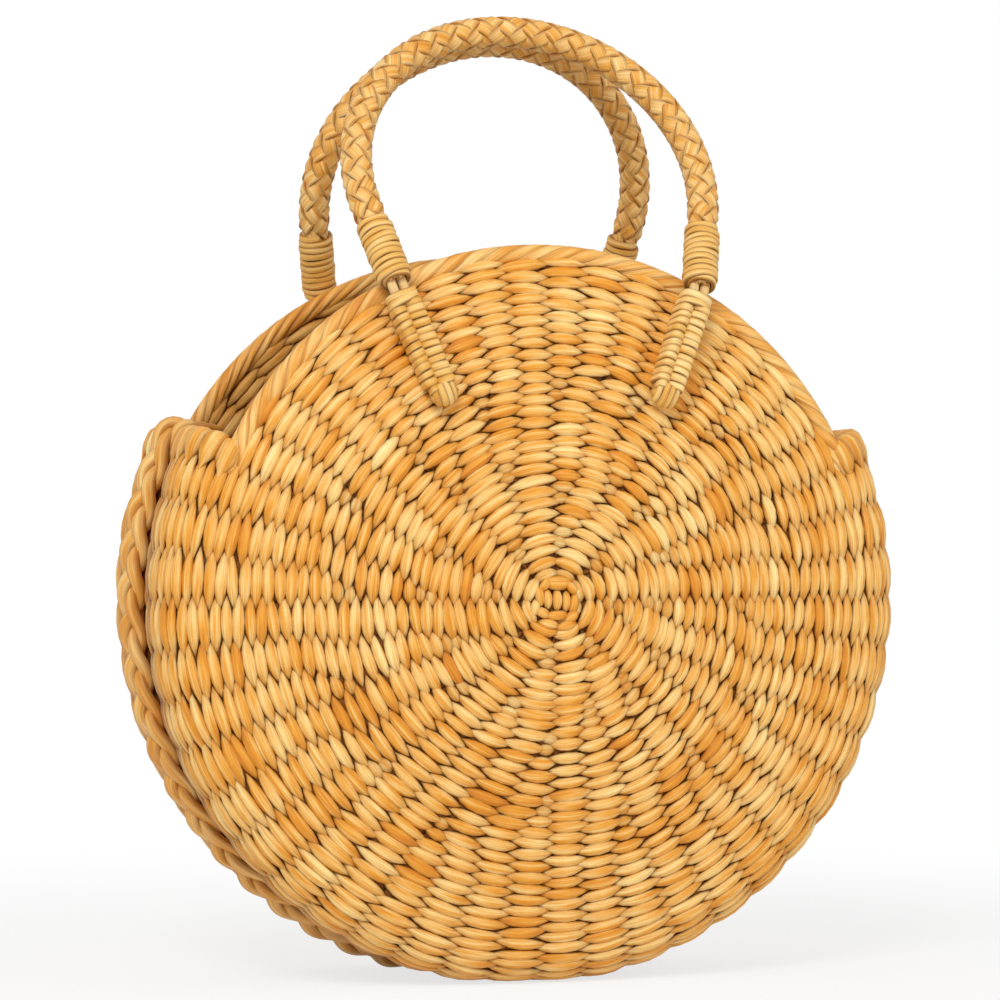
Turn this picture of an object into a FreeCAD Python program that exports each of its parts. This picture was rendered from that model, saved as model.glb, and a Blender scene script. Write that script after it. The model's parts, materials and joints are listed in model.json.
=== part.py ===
"""Round straw bag: two woven halves, two braided handles on folding feet.

Millimetres, +Z up, the front disc faces -Y, the origin is on the floor under
the middle. Each half is drawn in a frame of its own, with x to the side, y up
and z out of the disc, and is then stood upright at the front or at the back.
"""
import FreeCAD, Part
import Sketcher
import math
import os

Vector = FreeCAD.Vector
Placement = FreeCAD.Placement
Rotation = FreeCAD.Rotation

doc = FreeCAD.newDocument("CircleBag")


# Driving sizes: name, number, meaning.
SIZES = [
    ("bulge_radius", 179, "largest radius of the bag, on the side wall"),
    ("edge_width", 17, "from the disc's rim, where it turns, out to the largest radius"),
    ("half_depth", 80, "from the seam plane to the middle of the disc"),
    ("rim_depth", 58, "from the seam plane to the edge of the disc"),
    ("foot_flat", 2.2, "depth of the flat the bag stands on"),
    ("outer_layer", 3.0, "thickness of the outer weave"),
    ("inner_layer", 2.2, "thickness of the inner weave"),
    ("stake_diameter", 2.2, "radial stake between the two weaves"),
    ("layer_clearance", 0.1, "room between a stake and each weave"),
    ("shoulder_angle", 24, "where the wall ends, above the level, degrees"),
    ("lip_turn", 12, "turn of the wall from its belly to the seam border, degrees"),
    ("mouth_border", 7.6, "diameter of the border on the open edge"),
    ("shoulder_border", 7.6, "diameter of the border on the wall's ends"),
    ("seam_border_width", 20, "width of the flat border along the seam"),
    ("seam_border_thick", 7, "thickness of that border"),
    ("seam_border_end", 4, "radius of its rounded edges"),
    ("seam_tilt", 32, "lean of that border in towards the seam, degrees"),
    ("border_clearance", 0.2, "room between a border and what it edges"),
    ("seam_gap", 0.3, "room between the two seam borders"),
    ("hub_diameter", 24, "crossed knot in the middle of the disc"),
    ("hub_thickness", 1.6, "thickness of that knot"),
    ("hub_clearance", 0.2, "room between the knot and the stakes"),
    ("first_stakes", 12, "stakes that start at the hub"),
    ("second_start", 30, "radius where the second stakes start"),
    ("third_start", 85, "radius where the third stakes start"),
    ("foot_half_span", 72, "from the middle to a handle foot, sideways"),
    ("foot_inset", 3, "hinge of a foot, in from the disc's edge"),
    ("foot_tilt", 22, "lean of a lashed leg towards the middle, degrees"),
    ("foot_clearance", 0.5, "room between a handle end and the mouth border"),
    ("lean_allowance", 30, "lean that room is worked out for, degrees"),
    ("hinge_gap", 5.5, "bare strands between leg and handle"),
    ("seat_clearance", 0.3, "room between a leg and the disc"),
    ("strand_diameter", 4.6, "each of the two core strands"),
    ("strand_spacing", 5.0, "between the two core strands' middles"),
    ("cord_diameter", 2.4, "cord of the whippings and lashings"),
    ("wrap_clearance", 0.15, "room between a cord and what it is wound on"),
    ("whipping_turns", 10, "turns round each end of a handle"),
    ("whipping_pitch", 3.0, "from turn to turn of a whipping"),
    ("lashing_turns", 13, "turns round each lashed leg"),
    ("lashing_pitch", 3.5, "from turn to turn of a lashing"),
    ("knot_length", 8, "rounded knot at the lower end of a leg"),
    ("knot_inset", 1.2, "how much slimmer the knot is than the lashing"),
    ("rope_diameter", 14.6, "braided handle"),
    ("sleeve_wall", 0.8, "braid's wall under a whipping"),
    ("bore_clearance", 0.15, "room between the core strands and the braid"),
    ("front_straight", 8, "straight rope above a front whipping"),
    ("back_straight", 3.5, "straight rope above a back whipping"),
    ("front_splay", 12, "outward lean of the front handle's ends, degrees"),
    ("back_splay", 10, "outward lean of the back handle's ends, degrees"),
    ("meeting_offset", 8.5, "plane where the handles meet, behind the middle"),
    ("handle_gap", 1.0, "room between the two handles at the top"),
    ("cut_margin", 12, "how far a cutting outline reaches past the bag"),
]

sizes = doc.addObject("Spreadsheet::Sheet", "Sizes")
for row, (name, number, meaning) in enumerate(SIZES, start=1):
    sizes.set(f"A{row}", meaning)
    sizes.set(f"B{row}", str(number))
    sizes.setAlias(f"B{row}", name)

# Sizes that follow from the driving ones.
DERIVED = [
    # Wall section: dome, corner and lip are three arcs, tangent to each other.
    ("rim_radius", "Sizes.bulge_radius - Sizes.edge_width"),
    ("dome_radius", "(Derived.rim_radius^2 + (Sizes.half_depth - Sizes.rim_depth)^2)"
                    " / (2 * (Sizes.half_depth - Sizes.rim_depth))"),
    ("dome_height", "Sizes.half_depth - Derived.dome_radius"),
    ("rim_sine", "Derived.rim_radius / Derived.dome_radius"),
    ("rim_cosine", "sqrt(1 - Derived.rim_sine^2)"),
    ("corner_radius", "Sizes.edge_width / (1 - Derived.rim_sine)"),
    ("corner_across", "(Derived.dome_radius - Derived.corner_radius) * Derived.rim_sine"),
    ("corner_height", "Derived.dome_height"
                      " + (Derived.dome_radius - Derived.corner_radius) * Derived.rim_cosine"),
    ("stake_depth", "Sizes.outer_layer + Sizes.layer_clearance + Sizes.stake_diameter / 2"),
    ("inner_depth", "Sizes.outer_layer + Sizes.stake_diameter + 2 * Sizes.layer_clearance"),
    ("wall", "Derived.inner_depth + Sizes.inner_layer"),
    ("middle_depth", "Derived.wall / 2"),
    # Seam border: a flat band with two rounded edges; the inner edge is at the seam.
    ("seam_span", "Sizes.seam_border_width - 2 * Sizes.seam_border_end"),
    ("seam_height", "Sizes.seam_border_end + Sizes.seam_gap / 2"),
    ("seam_step", "Sizes.seam_border_end + Sizes.border_clearance"),
    ("lip_middle", "(Derived.corner_height - Derived.seam_height"
                   " - Derived.seam_span * cos(Sizes.seam_tilt)"
                   " - Derived.seam_step * cos(Sizes.lip_turn)) / sin(Sizes.lip_turn)"),
    ("lip_radius", "Derived.lip_middle + Derived.middle_depth"),
    ("lip_across", "Sizes.bulge_radius - Derived.lip_radius"),
    ("seam_across", "Derived.lip_across + Derived.lip_middle * cos(Sizes.lip_turn)"
                    " - Derived.seam_step * sin(Sizes.lip_turn)"
                    " - Derived.seam_span * sin(Sizes.seam_tilt)"),
    ("seam_end_set", "sqrt(Sizes.seam_border_end^2 - Sizes.seam_border_thick^2 / 4)"),
    ("axis_height", "Sizes.bulge_radius - Sizes.foot_flat"),
    ("mouth_axis", "Derived.rim_radius - Sizes.mouth_border / 2"),
    ("mouth_cut", "Derived.rim_radius - Sizes.mouth_border - Sizes.border_clearance"),
    ("mouth_height", "Derived.dome_height"
                     " + sqrt((Derived.dome_radius - Derived.middle_depth)^2 - Derived.mouth_axis^2)"),
    ("shoulder_step", "Sizes.shoulder_border / 2 + Sizes.border_clearance"),
    # Cords: what each is wound on and how far out it reaches.
    ("rope_bore", "Sizes.strand_spacing + Sizes.strand_diameter + 2 * Sizes.bore_clearance"),
    ("rope_end", "Derived.rope_bore + 2 * Sizes.sleeve_wall"),
    ("whipping_radius", "Derived.rope_end / 2 + Sizes.wrap_clearance + Sizes.cord_diameter / 2"),
    ("whipping_outer", "Derived.whipping_radius + Sizes.cord_diameter / 2"),
    ("whipping_run", "Sizes.whipping_turns * Sizes.whipping_pitch + Sizes.cord_diameter"
                     " + 2 * Sizes.wrap_clearance"),
    ("lashing_reach", "Sizes.strand_diameter / 2 + Sizes.wrap_clearance + Sizes.cord_diameter / 2"),
    ("lashing_wide", "Sizes.strand_spacing / 2 + Derived.lashing_reach"),
    ("lashing_thick", "sqrt(Derived.lashing_reach * Derived.lashing_wide)"),
    ("leg_outer", "Derived.lashing_thick + Sizes.cord_diameter / 2"),
    ("leg_length", "Sizes.lashing_turns * Sizes.lashing_pitch + Sizes.cord_diameter"
                   " + 2 * Sizes.wrap_clearance"),
    # Feet: the hinge stands off the disc so that the handle clears the border.
    ("foot_radius", "Derived.rim_radius - Sizes.foot_inset"),
    ("foot_up", "sqrt(Derived.foot_radius^2 - Sizes.foot_half_span^2)"),
    ("foot_surface", "Derived.dome_height + sqrt(Derived.dome_radius^2 - Derived.foot_radius^2)"),
    ("hinge_lift", "(Derived.whipping_outer + Sizes.mouth_border / 2 + Sizes.foot_clearance)"
                   " / cos(Sizes.lean_allowance) - Derived.middle_depth"),
    ("foot_out", "Derived.foot_surface + Derived.hinge_lift"),
    # The strands fold outwards about their outer face.
    ("hinge_out", "Derived.foot_out + Sizes.strand_diameter / 2"),
    # Handles: straight ends with a round arch between them, leaning in to meet.
    ("whipping_top", "Sizes.hinge_gap / 2 + Derived.whipping_run"),
    ("front_end", "Derived.whipping_top + Sizes.front_straight"),
    ("front_arch", "(Sizes.foot_half_span + Derived.front_end * sin(Sizes.front_splay))"
                   " / cos(Sizes.front_splay)"),
    ("front_centre", "Derived.front_end * cos(Sizes.front_splay)"
                     " + Derived.front_arch * sin(Sizes.front_splay)"),
    ("front_lean", "asin((Derived.foot_out + Sizes.meeting_offset"
                   " - (Sizes.rope_diameter + Sizes.handle_gap) / 2)"
                   " / (Derived.front_centre + Derived.front_arch))"),
    ("back_end", "Derived.whipping_top + Sizes.back_straight"),
    ("back_arch", "(Sizes.foot_half_span + Derived.back_end * sin(Sizes.back_splay))"
                  " / cos(Sizes.back_splay)"),
    ("back_centre", "Derived.back_end * cos(Sizes.back_splay)"
                    " + Derived.back_arch * sin(Sizes.back_splay)"),
    ("back_lean", "asin((Derived.foot_out - Sizes.meeting_offset"
                  " - (Sizes.rope_diameter + Sizes.handle_gap) / 2)"
                  " / (Derived.back_centre + Derived.back_arch))"),
]

derived = doc.addObject("Spreadsheet::Sheet", "Derived")
for row, (name, formula) in enumerate(DERIVED, start=1):
    derived.set(f"A{row}", name)
    derived.setAlias(f"B{row}", name)
for row, (name, formula) in enumerate(DERIVED, start=1):
    derived.set(f"B{row}", "=" + formula.replace("Derived.", ""))
doc.recompute()


def value(formula):
    """Number that a formula on the two sheets gives."""
    result = sizes.evalExpression(str(formula))
    return float(getattr(result, "Value", result))


nodes = {}


def keep(obj, label):
    """Name a finished piece; its label names its file."""
    obj.Label = label
    nodes[label] = obj
    return obj


def bind(obj, **formulas):
    """Tie properties of an object to formulas on the sheets."""
    for prop, formula in formulas.items():
        obj.setExpression(prop, str(formula))
    return obj


def plane(body, role):
    """One of a body's own origin planes."""
    return [f for f in body.Origin.OriginFeatures if f.Role == role][0]


def new_sketch(body, name, role):
    """Empty sketch on an origin plane of its body."""
    sketch = body.newObject("Sketcher::SketchObject", name)
    sketch.AttachmentSupport = (plane(body, role), [""])
    sketch.MapMode = "FlatFace"
    return sketch


def pin(sketch, geometry, end, across, up):
    """Hold an end of a curve at two formulas, from the sketch's origin."""
    for kind, formula in (("DistanceX", across), ("DistanceY", up)):
        number = value(formula)
        if abs(number) < 1e-9:
            axis = -2 if kind == "DistanceX" else -1
            sketch.addConstraint(Sketcher.Constraint("PointOnObject", geometry, end, axis))
            continue
        index = sketch.addConstraint(Sketcher.Constraint(kind, -1, 1, geometry, end, number))
        sketch.setExpression(f"Constraints[{index}]", str(formula))


def draw(sketch, corners, closed=True):
    """Chain of lines and arcs through corners (across, up, radius, way, large).

    The radius belongs to the curve that leaves the corner; without one it is a
    line. The way is 1 for an arc that turns left and -1 for one that turns
    right. A large arc is the one of more than a half circle.
    """
    points = [Vector(value(c[0]), value(c[1]), 0) for c in corners]
    count = len(corners) if closed else len(corners) - 1
    for i in range(count):
        start = points[i]
        stop = points[(i + 1) % len(points)]
        radius = corners[i][2] if len(corners[i]) > 2 else None
        if radius is None:
            sketch.addGeometry(Part.LineSegment(start, stop), False)
            continue
        number = value(radius)
        chord = stop - start
        left = Vector(-chord.y, chord.x, 0)
        left.normalize()
        rise = math.sqrt(max(number ** 2 - (chord.Length / 2) ** 2, 0))
        way = corners[i][3]
        if len(corners[i]) > 4 and corners[i][4]:
            rise = -rise
        centre = (start + stop) * 0.5 + left * (rise * way)
        first = math.atan2(start.y - centre.y, start.x - centre.x)
        last = math.atan2(stop.y - centre.y, stop.x - centre.x)
        circle = Part.Circle(centre, Vector(0, 0, 1), number)
        if way < 0:
            first, last = last, first
        sketch.addGeometry(Part.ArcOfCircle(circle, first, last), False)

    def ends(i):
        backwards = len(corners[i]) > 2 and corners[i][2] is not None and corners[i][3] < 0
        return (2, 1) if backwards else (1, 2)

    for i in range(count):
        pin(sketch, i, ends(i)[0], corners[i][0], corners[i][1])
        following = (i + 1) % len(corners)
        if following < count:
            sketch.addConstraint(
                Sketcher.Constraint("Coincident", i, ends(i)[1], following, ends(following)[0]))
        else:
            pin(sketch, i, ends(i)[1], corners[following][0], corners[following][1])
        if len(corners[i]) > 2 and corners[i][2] is not None:
            index = sketch.addConstraint(Sketcher.Constraint("Radius", i, value(corners[i][2])))
            sketch.setExpression(f"Constraints[{index}]", str(corners[i][2]))
    return sketch


def draw_circle(sketch, across, up, radius):
    """Circle held at two formulas, with a radius from a third."""
    centre = Vector(value(across), value(up), 0)
    sketch.addGeometry(Part.Circle(centre, Vector(0, 0, 1), value(radius)), False)
    pin(sketch, 0, 3, across, up)
    index = sketch.addConstraint(Sketcher.Constraint("Radius", 0, value(radius)))
    sketch.setExpression(f"Constraints[{index}]", str(radius))
    return sketch


def section_point(station, depth):
    """Formulas of a point of the wall's section, at a depth under its outside.

    Stations: 0 the middle of the disc, 1 its rim, 2 the belly, 3 the lip's end.
    """
    if station == 0:
        return "0", f"Sizes.half_depth - ({depth})"
    if station == 1:
        reach = f"(Derived.dome_radius - ({depth}))"
        return f"{reach} * Derived.rim_sine", f"Derived.dome_height + {reach} * Derived.rim_cosine"
    if station == 2:
        return f"Sizes.bulge_radius - ({depth})", "Derived.corner_height"
    reach = f"(Derived.lip_radius - ({depth}))"
    return (f"Derived.lip_across + {reach} * cos(Sizes.lip_turn)",
            f"Derived.corner_height - {reach} * sin(Sizes.lip_turn)")


def section_point_number(station, depth):
    """The same point as numbers, in the plane across the disc."""
    across, up = section_point(station, depth)
    return Vector(value(across), 0, value(up))


def sector_cut(body, name, sketch):
    """Cut a sketch on the seam plane right through a half, outwards."""
    pocket = body.newObject("PartDesign::Pocket", name)
    pocket.Profile = sketch
    pocket.Type = "ThroughAll"
    pocket.Reversed = True
    return pocket


def weave(label, outside, inside, stands):
    """One layer of a half: a dished shell with the mouth cut out of its wall."""
    body = doc.addObject("PartDesign::Body", label)
    profile = new_sketch(body, label + "_profile", "XZ_Plane")
    arcs = ["dome_radius", "corner_radius", "lip_radius"]
    corners = []
    for station in range(3):
        across, up = section_point(station, outside)
        corners.append((across, up, f"Derived.{arcs[station]} - ({outside})", -1))
    corners.append(section_point(3, outside))
    for station in range(3, 0, -1):
        across, up = section_point(station, inside)
        corners.append((across, up, f"Derived.{arcs[station - 1]} - ({inside})", 1))
    corners.append(section_point(0, inside))
    draw(profile, corners)
    turn = body.newObject("PartDesign::Revolution", label + "_turn")
    turn.Profile = profile
    turn.ReferenceAxis = (profile, ["V_Axis"])
    turn.Angle = 360
    # The mouth: a sector of the wall, down to the border of the disc.
    far = "(Sizes.bulge_radius + Sizes.cut_margin)"
    mouth = new_sketch(body, label + "_mouth", "XY_Plane")
    draw(mouth, [
        (f"{far} * cos(Sizes.shoulder_angle)", f"{far} * sin(Sizes.shoulder_angle)", far, 1),
        (f"-{far} * cos(Sizes.shoulder_angle)", f"{far} * sin(Sizes.shoulder_angle)"),
        ("-Derived.mouth_cut * cos(Sizes.shoulder_angle)",
         "Derived.mouth_cut * sin(Sizes.shoulder_angle)", "Derived.mouth_cut", -1),
        ("Derived.mouth_cut * cos(Sizes.shoulder_angle)",
         "Derived.mouth_cut * sin(Sizes.shoulder_angle)"),
    ])
    sector_cut(body, label + "_mouth_cut", mouth)
    if stands:
        # The flat that the half stands on.
        foot = new_sketch(body, label + "_foot", "XY_Plane")
        low = "-(Sizes.bulge_radius + Sizes.cut_margin)"
        draw(foot, [
            ("-Sizes.bulge_radius", low),
            ("Sizes.bulge_radius", low),
            ("Sizes.bulge_radius", "-Derived.axis_height"),
            ("-Sizes.bulge_radius", "-Derived.axis_height"),
        ])
        sector_cut(body, label + "_foot_cut", foot)
    return keep(body, label)


def flat_section():
    """Corners of the seam border's section: two flat faces and two round edges."""
    def corner(along, off):
        return (f"Derived.seam_across + ({along}) * sin(Sizes.seam_tilt) + ({off}) * cos(Sizes.seam_tilt)",
                f"Derived.seam_height + ({along}) * cos(Sizes.seam_tilt) - ({off}) * sin(Sizes.seam_tilt)")

    near = "-Derived.seam_end_set"
    far = "Derived.seam_span + Derived.seam_end_set"
    face = "Sizes.seam_border_thick / 2"
    return [
        corner(far, face),
        corner(near, face) + ("Sizes.seam_border_end", -1),
        corner(near, f"-{face}"),
        corner(far, f"-{face}") + ("Sizes.seam_border_end", -1),
    ]


def border(label, across, up, span, draw_section):
    """Border along a circle about the disc's axis, through an angle.

    Across and up give a point inside its section.
    """
    body = doc.addObject("PartDesign::Body", label)
    profile = new_sketch(body, label + "_profile", "XZ_Plane")
    draw_section(profile)
    turn = body.newObject("PartDesign::Revolution", label + "_turn")
    turn.Profile = profile
    turn.ReferenceAxis = (profile, ["V_Axis"])
    bind(turn, Angle=span)
    doc.recompute()
    # The turn has to run from the x axis towards y, past a point near its start.
    early = math.radians(value(span)) / 10
    probe = Vector(value(across) * math.cos(early), value(across) * math.sin(early), value(up))
    turn.Reversed = not turn.Shape.isInside(probe, 0.01, True)
    doc.recompute()
    return keep(body, label)


def arc_through(start, stop, centre):
    """Arc edge about a centre, the short way."""
    radius = (start - centre).Length
    halfway = (start + stop) * 0.5 - centre
    halfway.normalize()
    return Part.Arc(start, centre + halfway * radius, stop).toShape()


def biarc(start, start_way, stop, stop_way):
    """Two arcs from one point and direction to another, tangent where they meet."""
    gap = stop - start
    both = start_way + stop_way
    bend = 2 * (1 - start_way.dot(stop_way))
    along = gap.dot(both)
    if bend < 1e-9:
        reach = gap.dot(gap) / (4 * gap.dot(stop_way))
    else:
        reach = (math.sqrt(along ** 2 + bend * gap.dot(gap)) - along) / bend
    middle = (start + stop + (start_way - stop_way) * reach) * 0.5
    edges = []
    for first, corner, last in ((start, start + start_way * reach, middle),
                                (middle, stop - stop_way * reach, stop)):
        chord = (last - first) * 0.5
        weight = chord.Length / (corner - first).Length
        crown = ((first + last) * 0.5 + corner * weight) * (1 / (1 + weight))
        edges.append(Part.Arc(first, crown, last).toShape())
    return edges


def tube(edges, way, diameter):
    """Round tube along a chain of edges that starts in a direction."""
    path = Part.Wire(edges)
    start = edges[0].valueAt(edges[0].FirstParameter)
    profile = Part.Wire([Part.Circle(start, way, diameter / 2).toShape()])
    solid = path.makePipeShell([profile], True, False)
    if solid.Volume < 0:
        solid.reverse()
    expected = math.pi * diameter ** 2 / 4 * path.Length
    if abs(solid.Volume - expected) > 0.02 * expected:
        raise ValueError("a tube's volume is off its section times its length")
    return solid


def winding(label, wide, thick, pitch, turns, diameter, low):
    """Cord wound about the z axis on an oval, as one tube with straight ends."""
    def station(quarter):
        angle = quarter * math.pi / 2
        point = Vector(wide * math.cos(angle), thick * math.sin(angle), low + pitch * quarter / 4)
        way = Vector(-wide * math.sin(angle), thick * math.cos(angle), pitch / (2 * math.pi))
        way.normalize()
        return point, way

    quarters = int(round(turns * 4))
    edges = []
    point, way = station(0)
    edges.append(Part.LineSegment(point - way * diameter, point).toShape())
    for quarter in range(quarters):
        point, way = station(quarter)
        next_point, next_way = station(quarter + 1)
        edges.extend(biarc(point, way, next_point, next_way))
    edges.append(Part.LineSegment(next_point, next_point + next_way * diameter).toShape())
    # Least gap of the cord to itself, on points of its middle line.
    points = []
    for edge in edges:
        points.extend(edge.discretize(7)[:-1])
    turn = 4 * 2 * 6
    least = min((points[i] - points[j]).Length
                for i in range(0, len(points), 2)
                for j in range(i + turn // 2, min(i + 2 * turn, len(points))))
    print(f"{label}: {turns:g} turns, least gap to itself {least - diameter:.2f}")
    return tube(edges, station(0)[1], diameter)


def feature(label, shape, placement):
    """Piece made from a shape worked out here, put in its place."""
    obj = doc.addObject("Part::Feature", label)
    obj.Shape = shape
    obj.Placement = placement
    return keep(obj, label)


# Frames. A half stands upright at the front; the back is the front turned round.
upright = Placement(Vector(0, 0, value("Derived.axis_height")), Rotation(Vector(1, 0, 0), 90))
half_turn = Placement(Vector(0, 0, 0), Rotation(Vector(0, 0, 1), 180))
HALVES = {"front": upright, "back": half_turn * upright}


def spin(angle):
    """Turn about the disc's own axis."""
    return Placement(Vector(0, 0, 0), Rotation(Vector(0, 0, 1), angle))


# Stakes: each follows the wall between the two weaves. Those under the mouth
# stop at the disc's edge, the others go round it to the lip.
def stake_paths(start_radius):
    depth = value("Derived.stake_depth")
    dome = Vector(0, 0, value("Derived.dome_height"))
    reach = value("Derived.dome_radius") - depth

    def on_dome(radius):
        return Vector(radius, 0, dome.z + math.sqrt(reach ** 2 - radius ** 2))

    first = on_dome(start_radius)
    way = Vector(first.z - dome.z, 0, -first.x)
    short_end = on_dome(value("Derived.mouth_cut - Sizes.border_clearance"))
    short = tube([arc_through(first, short_end, dome)], way, value("Sizes.stake_diameter"))
    rim = section_point_number(1, "Derived.stake_depth")
    belly = section_point_number(2, "Derived.stake_depth")
    lip = section_point_number(3, "Derived.stake_depth")
    corner = Vector(value("Derived.corner_across"), 0, value("Derived.corner_height"))
    lip_centre = Vector(value("Derived.lip_across"), 0, value("Derived.corner_height"))
    full = tube([arc_through(first, rim, dome), arc_through(rim, belly, corner),
                 arc_through(belly, lip, lip_centre)], way, value("Sizes.stake_diameter"))
    return short, full


def stakes(label, placement):
    count = int(round(value("Sizes.first_stakes")))
    starts = [value("Sizes.hub_diameter / 2 + Sizes.hub_clearance"),
              value("Sizes.second_start"), value("Sizes.third_start")]
    kinds = [stake_paths(start) for start in starts]
    margin = math.degrees(value("(Sizes.stake_diameter + Sizes.border_clearance)")
                          / value("Derived.mouth_cut"))
    step = 360 / (4 * count)
    made = []
    for i in range(4 * count):
        angle = (i + 0.5) * step
        kind = 0 if i % 4 == 0 else 1 if i % 4 == 2 else 2
        above = abs(((angle - 90 + 180) % 360) - 180)
        in_mouth = above < 90 - value("Sizes.shoulder_angle") + margin
        shape = kinds[kind][0 if in_mouth else 1].copy()
        shape.rotate(Vector(0, 0, 0), Vector(0, 0, 1), angle)
        made.append(shape)
    return feature(label, Part.makeCompound(made), placement)


# Shoulder borders: two torus arcs, round the corner and round the lip.
rim_turn = math.degrees(math.asin(value(
    "(Derived.rim_radius + Sizes.border_clearance - Derived.corner_across)"
    " / (Derived.corner_radius - Derived.middle_depth - Sizes.shoulder_border / 2)")))


def turned_ring(name, across, start_angle, **formulas):
    """Torus arc in the section plane, from an angle off the disc's axis."""
    ring = bind(doc.addObject("Part::Torus", name), **formulas)
    angle = math.radians(start_angle)
    x_way = Vector(math.sin(angle), 0, math.cos(angle))
    y_way = Vector(math.cos(angle), 0, -math.sin(angle))
    ring.Placement = Placement(Vector(value(across), 0, value("Derived.corner_height")),
                               Rotation(x_way, y_way, Vector(0, 1, 0), "ZXY"))
    return ring


shoulder_corner = turned_ring(
    "shoulder_corner", "Derived.corner_across", rim_turn,
    Radius1="Derived.corner_radius - Derived.middle_depth", Radius2="Sizes.shoulder_border / 2",
    Angle3="90 - asin((Derived.rim_radius + Sizes.border_clearance - Derived.corner_across)"
           " / (Derived.corner_radius - Derived.middle_depth - Sizes.shoulder_border / 2)) / 1 deg")
shoulder_lip = turned_ring(
    "shoulder_lip", "Derived.lip_across", 90,
    Radius1="Derived.lip_middle", Radius2="Sizes.shoulder_border / 2", Angle3="Sizes.lip_turn")

seam_reach = math.degrees(value("2 * Derived.shoulder_step") / value("Derived.seam_across"))
mouth_reach = math.degrees(value("Sizes.border_clearance") / value("Derived.mouth_axis"))

for half, placement in HALVES.items():
    weave(f"{half}_outer_weave", "0", "Sizes.outer_layer", True).Placement = placement
    weave(f"{half}_inner_weave", "Derived.inner_depth", "Derived.wall", False).Placement = placement
    stakes(f"{half}_stakes", placement)
    hub = bind(doc.addObject("Part::Cylinder", f"{half}_stake_hub"),
               Radius="Sizes.hub_diameter / 2", Height="Sizes.hub_thickness")
    hub.Placement = placement * Placement(Vector(
        0, 0, value("Sizes.half_depth - Derived.stake_depth - Sizes.hub_thickness / 2")), Rotation())
    keep(hub, f"{half}_stake_hub")
    mouth = border(f"{half}_mouth_border", "Derived.mouth_axis", "Derived.mouth_height",
                   "180 - 2 * Sizes.shoulder_angle"
                   " - 2 * Sizes.border_clearance / Derived.mouth_axis * 180 / pi",
                   lambda sketch: draw_circle(sketch, "Derived.mouth_axis", "Derived.mouth_height",
                                              "Sizes.mouth_border / 2"))
    mouth.Placement = placement * spin(value("Sizes.shoulder_angle") + mouth_reach)
    seam = border(f"{half}_seam_border", "Derived.seam_across", "Derived.seam_height",
                  "180 + 2 * Sizes.shoulder_angle"
                  " + 4 * Derived.shoulder_step / Derived.seam_across * 180 / pi",
                  lambda sketch: draw(sketch, flat_section()))
    seam.Placement = placement * spin(180 - value("Sizes.shoulder_angle") - seam_reach)
    for side, sign in (("left", -1), ("right", 1)):
        # Sides are those of someone who looks at the front.
        own = sign if half == "front" else -sign
        angle = value("Sizes.shoulder_angle")
        fuse = doc.addObject("Part::MultiFuse", f"{half}_{side}_shoulder_border")
        fuse.Shapes = [shoulder_corner, shoulder_lip]
        fuse.Refine = False
        fuse.Placement = (placement * spin(angle if own > 0 else 180 - angle)
                          * Placement(Vector(0, own * value("Derived.shoulder_step"), 0), Rotation()))
        keep(fuse, f"{half}_{side}_shoulder_border")


# Feet. In a half's own frame: where the hinge is, and the frame of the lashed
# leg under it, with z up the leg, x along the two strands and y off the disc.
def foot_point(side):
    return Vector(side * value("Sizes.foot_half_span"), value("Derived.foot_up"),
                  value("Derived.foot_out"))


def leg_frame(side):
    hinge = foot_point(side)
    run = value("Sizes.hinge_gap / 2 + Derived.leg_length")
    tilt = math.radians(value("Sizes.foot_tilt"))
    low_x = hinge.x - side * run * math.sin(tilt)
    low_y = hinge.y - run * math.cos(tilt)
    reach = value("Derived.dome_radius")
    dome_height = value("Derived.dome_height")
    surface = dome_height + math.sqrt(reach ** 2 - low_x ** 2 - low_y ** 2)
    off = Vector(low_x, low_y, surface - dome_height)
    off.normalize()
    low = Vector(low_x, low_y, surface) + off * value("Derived.leg_outer + Sizes.seat_clearance")
    up = hinge - low
    up.normalize()
    off = off - up * off.dot(up)
    off.normalize()
    return Placement(hinge, Rotation(off.cross(up), off, up, "ZYX"))


def handle_frame(half):
    """Frame of a handle: x to the side, z up its plane, at the hinges' height."""
    lean = value(f"Derived.{half}_lean")
    stand = Placement(Vector(0, -value("Derived.foot_out"),
                             value("Derived.axis_height + Derived.foot_up")),
                      Rotation(Vector(1, 0, 0), -lean))
    return stand if half == "front" else half_turn * stand


def end_frame(half, side):
    """Frame of one end of a handle, in the handle's frame: z up the rope."""
    splay = side * value(f"Sizes.{half}_splay")
    return Placement(Vector(side * value("Sizes.foot_half_span"), 0, 0),
                     Rotation(Vector(0, 1, 0), splay))


def rope_path(body, name, half, start):
    """Straight end, arch and straight end, from a distance above the hinges."""
    splay = f"Sizes.{half}_splay"
    sketch = new_sketch(body, name, "XZ_Plane")
    low = (f"Sizes.foot_half_span + ({start}) * sin({splay})", f"({start}) * cos({splay})")
    high = (f"Sizes.foot_half_span + Derived.{half}_end * sin({splay})",
            f"Derived.{half}_end * cos({splay})")
    sketch_corners = [
        low,
        (high[0], high[1], f"Derived.{half}_arch", 1, True),
        (f"-({high[0]})", high[1]),
        (f"-({low[0]})", low[1]),
    ]
    return draw(sketch, sketch_corners, closed=False)


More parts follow.
